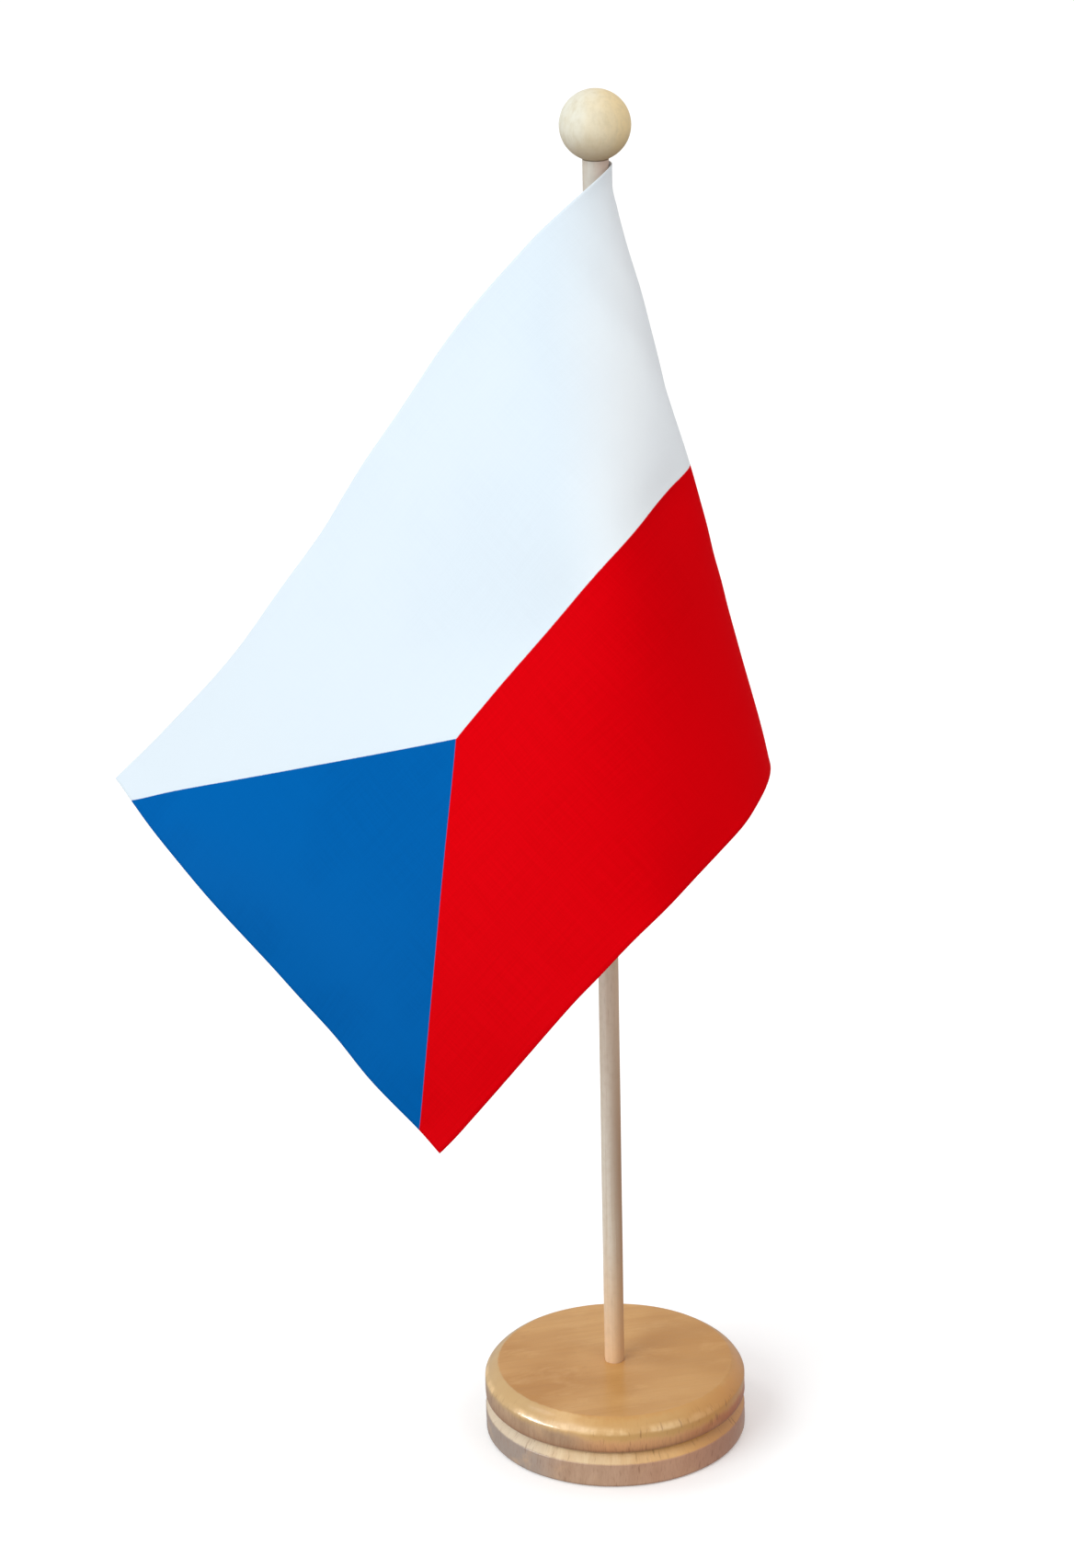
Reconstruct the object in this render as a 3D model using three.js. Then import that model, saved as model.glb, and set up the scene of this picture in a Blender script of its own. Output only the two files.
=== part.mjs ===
// Desk flag stand: a turned beech base with a blind socket, a push-in dowel pole with a
// short collar, a push-on ball finial, and a printed cloth flag that hangs from a sewn
// sleeve on the pole. Millimetres, +Z up. The origin is the centre of the base's underside
// and the pole's axis is the Z axis.

import * as THREE from 'three';

// ---- driving dimensions -------------------------------------------------------------
const BASE_R = 40;            // outside radius of the turned base
const BASE_H = 22;            // height of the base
const BEVEL = 4;              // width and height of the domed bevel round the top edge
const BEVEL_BULGE = 0.5;      // how far the bevel stands proud of a straight one
const UNDER_R = 1.2;          // rounding of the upper band's foot, over the groove
const LOWER_BAND_TOP = 7.5;   // top of the plain lower band
const UPPER_BAND_FOOT = 11.5; // foot of the upper band
const GROOVE_DEPTH = 2.9;     // depth of the turned groove between the two bands
const SOCKET_FLOOR = 7;       // height of the blind socket's floor above the underside

const FIT = 0.15;             // radial clearance of a push fit
const LIFT = 0.3;             // gap kept between faces that rest on each other

const DOWEL_R = 3;            // pole dowel, 6 mm
const BALL_R = 10;            // finial ball, 20 mm
const BALL_Z = 406;           // height of the ball's centre
const BALL_BORE_TOP = 407;    // end of the blind bore in the ball
const COLLAR_R = 3.7;         // collar under the ball, 7.4 mm
const COLLAR_FOOT = 374;
const COLLAR_TOP = 396.1;

const FLAG_FLY = 240;         // flat size of the cloth along the fly
const FLAG_HOIST = 160;       // flat size of the cloth along the hoist
const FLAG_TOP = 394;         // height of the hoist's upper corner
const CLOTH_T = 0.6;          // thickness given to the cloth solid
const SLEEVE_IN_R = 3.95;     // sewn sleeve, inner and outer radius
const SLEEVE_OUT_R = 4.3;
const SLEEVE_HIGH = 393;      // the sleeve's mouth is cut on a slant: high side
const SLEEVE_LOW = 384.5;     // and low side

const SEG_BASE = 72, SEG_BALL = 48, SEG_ROD = 24;

// ---- helpers ------------------------------------------------------------------------
// A turned solid: the profile is [radius, height] pairs, from the axis round to the axis.
function turned(profile, segments) {
  const pts = profile.map(([r, z]) => new THREE.Vector2(r, z));
  const g = new THREE.LatheGeometry(pts, segments);
  g.rotateX(Math.PI / 2);
  return g;
}

// Points on an arc in the profile plane, angles in degrees, both ends included.
function arc(cr, cz, r, a0, a1, n) {
  const out = [];
  for (let i = 0; i <= n; i++) {
    const a = THREE.MathUtils.degToRad(a0 + ((a1 - a0) * i) / n);
    out.push([cr + r * Math.cos(a), cz + r * Math.sin(a)]);
  }
  return out;
}

// A shallow arc in the profile plane from a to b, standing proud of the straight line by
// bulge on its right-hand side, both ends included.
function bowed(a, b, bulge, n) {
  const [dx, dz] = [b[0] - a[0], b[1] - a[1]];
  const c = Math.hypot(dx, dz), R = (c * c / 4 + bulge * bulge) / (2 * bulge);
  const cr = (a[0] + b[0]) / 2 + (dz / c) * (bulge - R), cz = (a[1] + b[1]) / 2 - (dx / c) * (bulge - R);
  const deg = (p) => THREE.MathUtils.radToDeg(Math.atan2(p[1] - cz, p[0] - cr));
  return arc(cr, cz, R, deg(a), deg(b), n);
}

function mesh(name, geometry, color, roughness) {
  const m = new THREE.Mesh(geometry, new THREE.MeshStandardMaterial({ color, roughness, metalness: 0 }));
  m.name = name;
  return m;
}

// ---- base ---------------------------------------------------------------------------
// Underside, chamfer, lower band, the groove with its sloping floor under the level foot
// of the upper band, that foot's rounded lip, the domed bevel that meets the wall in a
// soft line, flat top and the blind socket for the pole.
const grooveR = BASE_R - GROOVE_DEPTH;
const baseProfile = [
  [0, 0],
  [BASE_R - 0.8, 0],
  [BASE_R, 0.8],
  [BASE_R, LOWER_BAND_TOP - 0.3],
  [BASE_R - 0.3, LOWER_BAND_TOP],
  [grooveR + 0.25, UPPER_BAND_FOOT - 1.25],
  [grooveR, UPPER_BAND_FOOT - 0.85],
  [grooveR + 0.15, UPPER_BAND_FOOT - 0.45],
  [grooveR + 0.5, UPPER_BAND_FOOT - 0.25],
  ...arc(BASE_R - UNDER_R, UPPER_BAND_FOOT + UNDER_R, UNDER_R, -90, 0, 3),
  ...bowed([BASE_R, BASE_H - BEVEL], [BASE_R - BEVEL, BASE_H], BEVEL_BULGE, 5),
  [DOWEL_R + FIT, BASE_H],
  [DOWEL_R + FIT, SOCKET_FLOOR],
  [0, SOCKET_FLOOR],
];
const base = mesh('base_disc', turned(baseProfile, SEG_BASE), 0xc7965e, 0.3);

// ---- pole ---------------------------------------------------------------------------
const poleFoot = SOCKET_FLOOR + LIFT, poleTop = BALL_BORE_TOP - LIFT;
const dowel = mesh('pole_dowel', turned([
  [0, poleFoot],
  [DOWEL_R - 0.6, poleFoot],
  [DOWEL_R, poleFoot + 0.6],
  [DOWEL_R, poleTop - 0.6],
  [DOWEL_R - 0.6, poleTop],
  [0, poleTop],
], SEG_ROD), 0xcdb49b, 0.7);

// The collar slips over the dowel and fills the flag's sleeve under the ball.
const collar = mesh('pole_collar', turned([
  [DOWEL_R + FIT, COLLAR_FOOT],
  [COLLAR_R - 0.3, COLLAR_FOOT],
  [COLLAR_R, COLLAR_FOOT + 0.3],
  [COLLAR_R, COLLAR_TOP - 0.3],
  [COLLAR_R - 0.3, COLLAR_TOP],
  [DOWEL_R + FIT, COLLAR_TOP],
  [DOWEL_R + FIT, COLLAR_FOOT],
], SEG_ROD), 0xcbb3a4, 0.75);

// ---- finial -------------------------------------------------------------------------
const boreR = DOWEL_R + FIT;
const a0 = THREE.MathUtils.radToDeg(-Math.acos(boreR / BALL_R));
const ball = mesh('finial_ball', turned([
  [0, BALL_BORE_TOP],
  [boreR, BALL_BORE_TOP],
  ...arc(0, BALL_Z, BALL_R, a0, 90, 20).map(([r, z], i, all) => (i === all.length - 1 ? [0, z] : [r, z])),
], SEG_BALL), 0xead9b8, 0.6);

// ---- flag ---------------------------------------------------------------------------
// Closed solid from two matching point grids: outer skin, inner skin and the four edges.
function skinned(outer, inner, ni, nj, wrapI) {
  const pos = [], idx = [];
  const put = (p) => { pos.push(p.x, p.y, p.z); };
  outer.forEach((row) => row.forEach(put));
  inner.forEach((row) => row.forEach(put));
  const N = ni * nj, o = (i, j) => (i % ni) * nj + j, q = (i, j) => N + (i % ni) * nj + j;
  const quad = (a, b, c, d) => idx.push(a, b, c, a, c, d);
  const last = wrapI ? ni : ni - 1;
  for (let i = 0; i < last; i++) for (let j = 0; j < nj - 1; j++) {
    quad(o(i, j), o(i + 1, j), o(i + 1, j + 1), o(i, j + 1));
    quad(q(i, j), q(i, j + 1), q(i + 1, j + 1), q(i + 1, j));
  }
  for (let i = 0; i < last; i++) {
    quad(o(i, 0), q(i, 0), q(i + 1, 0), o(i + 1, 0));
    quad(o(i, nj - 1), o(i + 1, nj - 1), q(i + 1, nj - 1), q(i, nj - 1));
  }
  if (!wrapI) for (let j = 0; j < nj - 1; j++) {
    quad(o(0, j), o(0, j + 1), q(0, j + 1), q(0, j));
    quad(o(ni - 1, j), q(ni - 1, j), q(ni - 1, j + 1), o(ni - 1, j + 1));
  }
  const g = new THREE.BufferGeometry();
  g.setAttribute('position', new THREE.Float32BufferAttribute(pos, 3));
  g.setIndex(idx);
  g.computeVertexNormals();
  return g;
}

// The sewn sleeve: a thin tube round the pole, as long as the hoist, its mouth on a slant.
const sleeveFoot = FLAG_TOP - FLAG_HOIST;
function sleeveGrid(r) {
  const rows = [];
  for (let i = 0; i < SEG_ROD; i++) {
    const a = (2 * Math.PI * i) / SEG_ROD, x = r * Math.sin(a), y = -r * Math.cos(a);
    const mouth = SLEEVE_LOW + (SLEEVE_HIGH - SLEEVE_LOW) * (x / r * 0.5 + 0.5);
    rows.push([sleeveFoot, sleeveFoot + 55, sleeveFoot + 110, mouth].map((z) => new THREE.Vector3(x, y, z)));
  }
  return rows;
}
const sleeve = mesh('flag_sleeve', skinned(sleeveGrid(SLEEVE_OUT_R), sleeveGrid(SLEEVE_IN_R), SEG_ROD, 4, true), 0xe6ebf2, 0.6);

// The hanging cloth's middle surface. Rows run from the hoist to the fly edge, at
// ROW_S mm of cloth from the hoist; the points of a row run down the hoist, at COL_T mm
// from the top edge. Each point is x, y, z in mm.
const ROW_S = [0, 2.5, 5, 7.5, 10, 13, 16, 20, 24, 28, 32, 40, 48, 56, 64, 72, 80, 88, 96, 104, 112, 120, 128, 136, 144, 152, 160, 168, 176, 184, 192, 200, 208, 216, 224, 232, 240];
const COL_T = [0, 3, 6, 10, 16, 24, 32, 40, 48, 56, 64, 72, 80, 88, 96, 104, 112, 120, 128, 136, 144, 152, 160];
const SHEET = [
  [0.00, 5.00, 394.00, 0.00, 5.00, 391.00, 0.00, 5.00, 388.00, 0.00, 5.00, 384.00, 0.00, 5.00, 378.00, 0.00, 5.00, 370.00, 0.00, 5.00, 362.00, 0.00, 5.00, 354.00, 0.00, 5.00, 346.00, 0.00, 5.00, 338.00, 0.00, 5.00, 330.00, 0.00, 5.00, 322.00, 0.00, 5.00, 314.00, 0.00, 5.00, 306.00, 0.00, 5.00, 298.00, 0.00, 5.00, 290.00, 0.00, 5.00, 282.00, 0.00, 5.00, 274.00, 0.00, 5.00, 266.00, 0.00, 5.00, 258.00, 0.00, 5.00, 250.00, 0.00, 5.00, 242.00, 0.00, 5.00, 234.00],
  [2.62, 4.26, 394.11, 2.45, 4.36, 391.11, 2.49, 4.33, 388.11, 2.53, 4.35, 384.11, 2.51, 4.39, 378.11, 2.45, 4.41, 370.11, 2.42, 4.42, 362.11, 2.42, 4.41, 354.11, 2.42, 4.40, 346.10, 2.42, 4.39, 338.10, 2.42, 4.38, 330.09, 2.43, 4.38, 322.08, 2.43, 4.37, 314.08, 2.44, 4.36, 306.07, 2.44, 4.36, 298.07, 2.44, 4.36, 290.07, 2.45, 4.36, 282.06, 2.45, 4.36, 274.06, 2.45, 4.36, 266.06, 2.46, 4.35, 258.06, 2.48, 4.34, 250.06, 2.49, 4.33, 242.06, 2.52, 4.32, 234.06],
  [4.48, 2.22, 394.17, 4.32, 2.51, 391.18, 4.33, 2.50, 388.18, 4.49, 2.57, 384.18, 4.57, 2.72, 378.18, 4.51, 2.79, 370.19, 4.43, 2.80, 362.20, 4.42, 2.85, 354.20, 4.45, 2.94, 346.19, 4.47, 3.00, 338.18, 4.48, 3.03, 330.17, 4.49, 3.04, 322.16, 4.49, 3.03, 314.15, 4.48, 3.00, 306.14, 4.47, 2.96, 298.13, 4.45, 2.92, 290.13, 4.42, 2.88, 282.12, 4.40, 2.83, 274.12, 4.39, 2.79, 266.11, 4.39, 2.75, 258.11, 4.40, 2.71, 250.11, 4.41, 2.68, 242.11, 4.45, 2.64, 234.12],
  [4.97, -0.53, 394.13, 4.99, -0.35, 391.15, 5.00, -0.11, 388.16, 5.33, 0.16, 384.18, 5.67, 0.45, 378.20, 6.05, 0.76, 370.23, 6.32, 1.02, 362.26, 6.43, 1.23, 354.27, 6.50, 1.42, 346.27, 6.53, 1.56, 338.26, 6.55, 1.64, 330.24, 6.55, 1.67, 322.23, 6.54, 1.66, 314.21, 6.52, 1.62, 306.20, 6.49, 1.55, 298.19, 6.45, 1.48, 290.18, 6.41, 1.40, 282.18, 6.37, 1.32, 274.17, 6.35, 1.25, 266.16, 6.33, 1.18, 258.16, 6.33, 1.11, 250.16, 6.34, 1.05, 242.16, 6.38, 0.99, 234.17],
  [4.02, -2.97, 393.91, 4.09, -2.87, 390.97, 4.47, -2.51, 388.02, 5.42, -2.22, 384.06, 6.54, -1.82, 378.12, 7.44, -1.32, 370.20, 8.10, -0.86, 362.29, 8.34, -0.51, 354.31, 8.47, -0.22, 346.32, 8.54, 0.00, 338.31, 8.57, 0.15, 330.30, 8.58, 0.23, 322.28, 8.58, 0.24, 314.27, 8.56, 0.20, 306.25, 8.52, 0.13, 298.24, 8.46, 0.03, 290.23, 8.41, -0.08, 282.22, 8.35, -0.18, 274.21, 8.31, -0.28, 266.21, 8.29, -0.38, 258.20, 8.28, -0.46, 250.20, 8.29, -0.54, 242.20, 8.34, -0.61, 234.22],
  [2.67, -5.45, 393.38, 2.97, -5.36, 390.52, 3.88, -5.21, 387.63, 5.22, -4.97, 383.75, 7.00, -4.54, 377.90, 8.71, -3.92, 370.08, 9.89, -3.29, 362.24, 10.37, -2.79, 354.30, 10.64, -2.37, 346.33, 10.79, -2.03, 338.35, 10.88, -1.78, 330.35, 10.93, -1.63, 322.34, 10.95, -1.56, 314.32, 10.94, -1.57, 306.31, 10.91, -1.64, 298.29, 10.85, -1.75, 290.28, 10.79, -1.87, 282.27, 10.73, -1.99, 274.26, 10.68, -2.11, 266.26, 10.64, -2.23, 258.25, 10.63, -2.33, 250.25, 10.65, -2.42, 242.25, 10.69, -2.50, 234.27],
  [1.09, -7.60, 392.53, 1.71, -7.66, 389.77, 2.88, -7.64, 386.98, 4.59, -7.52, 383.21, 6.87, -7.19, 377.51, 9.32, -6.58, 369.82, 11.14, -5.87, 362.09, 11.98, -5.26, 354.21, 12.49, -4.72, 346.29, 12.79, -4.26, 338.34, 12.97, -3.90, 330.37, 13.12, -3.65, 322.38, 13.20, -3.50, 314.37, 13.24, -3.46, 306.35, 13.23, -3.50, 298.34, 13.19, -3.59, 290.32, 13.13, -3.71, 282.31, 13.07, -3.84, 274.31, 13.02, -3.97, 266.30, 12.99, -4.09, 258.30, 12.98, -4.20, 250.29, 13.00, -4.29, 242.30, 13.05, -4.37, 234.31],
  [-1.43, -9.90, 390.97, -0.46, -10.22, 388.38, 1.00, -10.44, 385.75, 3.10, -10.59, 382.18, 5.99, -10.55, 376.72, 9.21, -10.12, 369.28, 11.87, -9.43, 361.72, 13.41, -8.76, 353.97, 14.38, -8.10, 346.15, 15.00, -7.50, 338.27, 15.40, -6.99, 330.35, 15.74, -6.58, 322.40, 15.96, -6.30, 314.41, 16.12, -6.15, 306.41, 16.18, -6.13, 298.39, 16.18, -6.18, 290.38, 16.17, -6.28, 282.37, 16.13, -6.39, 274.37, 16.10, -6.51, 266.36, 16.08, -6.62, 258.36, 16.09, -6.72, 250.36, 16.12, -6.81, 242.36, 16.19, -6.88, 234.38],
  [-4.26, -11.69, 389.03, -3.01, -12.29, 386.63, -1.32, -12.77, 384.18, 1.08, -13.25, 380.83, 4.47, -13.62, 375.66, 8.40, -13.52, 368.51, 11.69, -13.01, 361.17, 13.99, -12.36, 353.59, 15.59, -11.66, 345.89, 16.65, -10.96, 338.11, 17.37, -10.31, 330.26, 17.98, -9.74, 322.37, 18.43, -9.31, 314.43, 18.76, -9.04, 306.45, 18.96, -8.93, 298.44, 19.04, -8.92, 290.43, 19.09, -8.96, 282.43, 19.10, -9.04, 274.43, 19.10, -9.12, 266.42, 19.12, -9.21, 258.42, 19.15, -9.29, 250.42, 19.20, -9.36, 242.43, 19.29, -9.42, 234.44],
  [-7.26, -13.02, 386.77, -5.80, -13.87, 384.55, -3.98, -14.62, 382.27, -1.39, -15.45, 379.15, 2.37, -16.30, 374.29, 6.89, -16.68, 367.47, 10.78, -16.48, 360.39, 13.73, -15.99, 353.02, 15.99, -15.32, 345.49, 17.63, -14.59, 337.84, 18.77, -13.85, 330.08, 19.75, -13.15, 322.28, 20.51, -12.57, 314.41, 21.12, -12.16, 306.47, 21.50, -11.92, 298.48, 21.71, -11.82, 290.48, 21.88, -11.78, 282.49, 21.95, -11.80, 274.49, 22.01, -11.83, 266.48, 22.08, -11.88, 258.48, 22.15, -11.93, 250.48, 22.24, -11.97, 242.49, 22.36, -12.00, 234.51],
  [-10.31, -13.96, 384.25, -8.71, -15.05, 382.19, -6.84, -16.04, 380.07, -4.17, -17.21, 377.17, -0.20, -18.57, 372.62, 4.78, -19.55, 366.18, 9.22, -19.79, 359.39, 12.82, -19.57, 352.28, 15.70, -19.04, 344.94, 17.91, -18.34, 337.44, 19.58, -17.56, 329.81, 21.01, -16.77, 322.12, 22.18, -16.05, 314.34, 23.16, -15.49, 306.46, 23.81, -15.11, 298.51, 24.20, -14.89, 290.53, 24.52, -14.74, 282.54, 24.69, -14.68, 274.55, 24.83, -14.65, 266.55, 24.96, -14.64, 258.55, 25.09, -14.64, 250.55, 25.23, -14.64, 242.56, 25.39, -14.62, 234.57],
  [-16.43, -15.47, 378.94, -14.65, -16.96, 377.17, -12.74, -18.41, 375.36, -10.04, -20.24, 372.88, -5.82, -22.64, 368.96, -0.10, -24.93, 363.30, 5.36, -26.21, 357.15, 10.22, -26.65, 350.58, 14.31, -26.49, 343.66, 17.68, -25.95, 336.49, 20.44, -25.16, 329.14, 22.86, -24.24, 321.70, 25.02, -23.26, 314.15, 26.87, -22.40, 306.43, 28.16, -21.71, 298.56, 28.96, -21.22, 290.61, 29.65, -20.82, 282.65, 30.04, -20.58, 274.67, 30.36, -20.39, 266.67, 30.64, -20.24, 258.68, 30.89, -20.13, 250.68, 31.13, -20.04, 242.70, 31.39, -19.93, 234.71],
  [-22.09, -15.74, 372.95, -20.30, -17.42, 371.30, -18.48, -19.08, 369.63, -15.98, -21.24, 367.36, -12.04, -24.27, 363.84, -6.48, -27.68, 358.81, -0.82, -30.18, 353.33, 4.60, -31.75, 347.39, 9.49, -32.51, 341.02, 13.71, -32.63, 334.29, 17.22, -32.27, 327.26, 20.06, -31.52, 319.98, 22.47, -30.61, 312.59, 25.91, -30.24, 305.46, 29.03, -29.68, 298.14, 30.97, -28.95, 290.41, 32.76, -28.23, 282.63, 33.70, -27.68, 274.68, 34.50, -27.21, 266.73, 35.17, -26.82, 258.77, 35.75, -26.48, 250.80, 36.27, -26.17, 242.84, 36.76, -25.88, 234.87],
  [-27.65, -15.89, 366.90, -25.85, -17.64, 365.30, -24.06, -19.41, 363.70, -21.67, -21.75, 361.55, -17.98, -25.17, 358.27, -12.75, -29.37, 353.70, -7.23, -32.90, 348.80, -1.63, -35.58, 343.48, 3.74, -37.39, 337.72, 8.63, -38.40, 331.51, 12.83, -38.64, 324.86, 16.14, -38.17, 317.78, 18.87, -37.35, 310.47, 22.99, -37.42, 303.69, 26.95, -37.31, 296.80, 30.13, -36.85, 289.50, 32.90, -36.23, 282.02, 35.15, -35.54, 274.36, 36.95, -34.83, 266.58, 38.31, -34.17, 258.72, 39.47, -33.55, 250.83, 40.47, -32.98, 242.92, 41.32, -32.46, 235.00],
  [-33.05, -15.90, 360.75, -31.25, -17.68, 359.17, -29.46, -19.48, 357.60, -27.09, -21.91, 355.52, -23.53, -25.57, 352.38, -18.66, -30.29, 348.12, -13.46, -34.61, 343.66, -7.99, -38.28, 338.90, -2.45, -41.20, 333.75, 2.91, -43.27, 328.18, 7.81, -44.42, 322.08, 11.88, -44.54, 315.38, 15.24, -44.07, 308.30, 19.72, -44.39, 301.73, 24.07, -44.57, 295.06, 27.92, -44.41, 288.06, 31.38, -44.02, 280.85, 34.46, -43.47, 273.47, 37.18, -42.80, 265.94, 39.55, -42.05, 258.31, 41.53, -41.27, 250.59, 43.23, -40.49, 242.80, 44.54, -39.77, 234.95],
  [-38.22, -15.64, 354.42, -36.41, -17.44, 352.87, -34.63, -19.28, 351.33, -32.27, -21.77, 349.29, -28.77, -25.56, 346.24, -24.09, -30.60, 342.17, -19.25, -35.45, 338.00, -14.11, -39.90, 333.65, -8.70, -43.79, 329.04, -3.19, -46.99, 324.10, 2.21, -49.30, 318.70, 7.20, -50.50, 312.67, 11.56, -50.75, 306.10, 16.32, -51.30, 299.71, 20.86, -51.63, 293.13, 25.04, -51.66, 286.30, 28.91, -51.47, 279.27, 32.49, -51.10, 272.08, 35.78, -50.59, 264.77, 38.78, -49.95, 257.34, 41.44, -49.22, 249.81, 43.77, -48.44, 242.19, 45.76, -47.64, 234.50],
  [-43.13, -15.09, 347.93, -41.33, -16.93, 346.41, -39.56, -18.80, 344.90, -37.22, -21.34, 342.90, -33.75, -25.21, 339.91, -29.17, -30.43, 335.94, -24.51, -35.59, 331.94, -19.70, -40.52, 327.84, -14.61, -45.11, 323.58, -9.27, -49.23, 319.12, -3.77, -52.71, 314.35, 1.77, -55.25, 309.11, 7.12, -56.70, 303.33, 12.32, -57.71, 297.26, 17.13, -58.29, 290.85, 21.57, -58.54, 284.17, 25.73, -58.54, 277.30, 29.65, -58.36, 270.29, 33.33, -58.03, 263.15, 36.77, -57.56, 255.91, 39.91, -56.97, 248.55, 42.74, -56.28, 241.10, 45.23, -55.53, 233.56],
  [-47.75, -14.21, 341.29, -45.98, -16.11, 339.81, -44.24, -18.04, 338.33, -41.93, -20.64, 336.37, -38.51, -24.59, 333.43, -33.98, -29.91, 329.53, -29.42, -35.21, 325.61, -24.75, -40.39, 321.63, -19.92, -45.36, 317.55, -14.87, -50.04, 313.34, -9.56, -54.29, 308.94, -4.03, -57.91, 304.27, 1.67, -60.71, 299.23, 7.27, -62.79, 293.82, 12.51, -64.08, 287.88, 17.33, -64.77, 281.52, 21.83, -65.09, 274.89, 26.07, -65.16, 268.09, 30.08, -65.05, 261.14, 33.87, -64.79, 254.08, 37.39, -64.38, 246.90, 40.59, -63.83, 239.60, 43.45, -63.15, 232.19],
  [-52.14, -13.11, 334.55, -50.44, -15.10, 333.11, -48.75, -17.09, 331.67, -46.49, -19.76, 329.74, -43.11, -23.77, 326.86, -38.62, -29.15, 323.00, -34.09, -34.51, 319.13, -29.48, -39.79, 315.20, -24.74, -44.90, 311.19, -19.85, -49.80, 307.09, -14.76, -54.39, 302.85, -9.44, -58.57, 298.44, -3.92, -62.28, 293.84, 1.54, -65.84, 289.21, 7.01, -68.38, 283.99, 12.23, -69.95, 278.17, 17.13, -70.86, 271.94, 21.73, -71.35, 265.43, 26.10, -71.57, 258.72, 30.23, -71.58, 251.87, 34.10, -71.39, 244.88, 37.65, -71.01, 237.74, 40.87, -70.47, 230.48],
  [-56.55, -12.03, 327.83, -54.89, -14.06, 326.41, -53.22, -16.09, 324.99, -50.99, -18.80, 323.10, -47.65, -22.87, 320.25, -43.17, -28.29, 316.43, -38.64, -33.66, 312.58, -34.03, -38.94, 308.67, -29.32, -44.07, 304.69, -24.47, -49.01, 300.62, -19.47, -53.70, 296.44, -14.30, -58.10, 292.14, -9.04, -62.33, 287.78, -4.11, -67.08, 283.72, 1.13, -71.02, 279.24, 6.50, -73.78, 274.08, 11.72, -75.58, 268.36, 16.70, -76.72, 262.25, 21.43, -77.42, 255.87, 25.91, -77.81, 249.27, 30.12, -77.92, 242.49, 34.02, -77.77, 235.52, 37.64, -77.42, 228.41],
  [-61.01, -11.00, 321.13, -59.35, -13.05, 319.72, -57.69, -15.10, 318.32, -55.48, -17.84, 316.45, -52.16, -21.95, 313.63, -47.69, -27.39, 309.84, -43.15, -32.76, 306.01, -38.53, -38.02, 302.11, -33.81, -43.13, 298.14, -28.98, -48.07, 294.08, -24.02, -52.80, 289.93, -18.96, -57.37, 285.72, -13.94, -62.02, 281.54, -9.45, -67.44, 277.82, -4.65, -72.40, 273.88, 0.55, -76.32, 269.34, 5.88, -79.16, 264.18, 11.11, -81.13, 258.54, 16.16, -82.49, 252.55, 20.99, -83.39, 246.27, 25.51, -83.87, 239.73, 29.64, -83.91, 232.93, 33.36, -83.62, 225.90],
  [-65.44, -9.95, 314.41, -63.79, -12.02, 313.02, -62.15, -14.10, 311.63, -59.96, -16.88, 309.79, -56.67, -21.04, 307.01, -52.22, -26.53, 303.26, -47.69, -31.90, 299.45, -43.06, -37.15, 295.56, -38.34, -42.25, 291.60, -33.52, -47.21, 287.56, -28.62, -52.03, 283.45, -23.69, -56.81, 279.33, -18.90, -61.82, 275.32, -14.63, -67.55, 271.77, -10.20, -73.11, 268.17, -5.32, -77.90, 264.10, -0.10, -81.69, 259.45, 5.22, -84.56, 254.30, 10.48, -86.70, 248.74, 15.59, -88.26, 242.86, 20.44, -89.26, 236.65, 24.87, -89.65, 230.07, 28.81, -89.53, 223.17],
  [-69.70, -8.77, 307.58, -68.12, -10.92, 306.24, -66.53, -13.07, 304.90, -64.41, -15.92, 303.11, -61.19, -20.18, 300.39, -56.80, -25.74, 296.71, -52.30, -31.15, 292.93, -47.68, -36.41, 289.06, -42.97, -41.54, 285.11, -38.19, -46.55, 281.10, -33.37, -51.49, 277.05, -28.57, -56.49, 273.02, -23.95, -61.76, 269.15, -19.78, -67.64, 265.70, -15.57, -73.50, 262.28, -10.99, -78.85, 258.52, -6.00, -83.39, 254.28, -0.77, -87.08, 249.56, 4.55, -90.03, 244.45, 9.84, -92.36, 239.01, 14.99, -94.06, 233.22, 19.82, -95.03, 227.00, 24.17, -95.34, 220.39],
  [-73.91, -7.59, 300.72, -72.42, -9.84, 299.44, -70.91, -12.07, 298.16, -68.88, -15.03, 296.43, -65.76, -19.41, 293.80, -61.46, -25.08, 290.20, -57.00, -30.56, 286.47, -52.42, -35.87, 282.64, -47.74, -41.05, 278.73, -43.02, -46.15, 274.76, -38.29, -51.24, 270.77, -33.61, -56.40, 266.83, -29.09, -61.84, 263.05, -24.96, -67.80, 259.65, -20.86, -73.81, 256.32, -16.49, -79.47, 252.75, -11.74, -84.51, 248.78, -6.67, -88.83, 244.40, -1.42, -92.49, 239.66, 3.92, -95.58, 234.63, 9.25, -98.09, 229.30, 14.46, -99.88, 223.58, 19.40, -100.99, 217.48],
  [-78.15, -6.53, 293.83, -76.77, -8.87, 292.64, -75.36, -11.20, 291.43, -73.43, -14.27, 289.79, -70.43, -18.77, 287.26, -66.22, -24.57, 283.75, -61.83, -30.15, 280.10, -57.31, -35.55, 276.32, -52.71, -40.83, 272.47, -48.07, -46.06, 268.57, -43.43, -51.29, 264.67, -38.84, -56.61, 260.80, -34.38, -62.13, 257.07, -30.27, -68.12, 253.71, -26.19, -74.16, 250.40, -21.91, -79.95, 246.90, -17.31, -85.25, 243.08, -12.40, -89.98, 238.90, -7.28, -94.16, 234.43, -2.01, -97.86, 229.70, 3.35, -101.08, 224.75, 8.77, -103.74, 219.52, 14.17, -105.84, 214.01],
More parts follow.
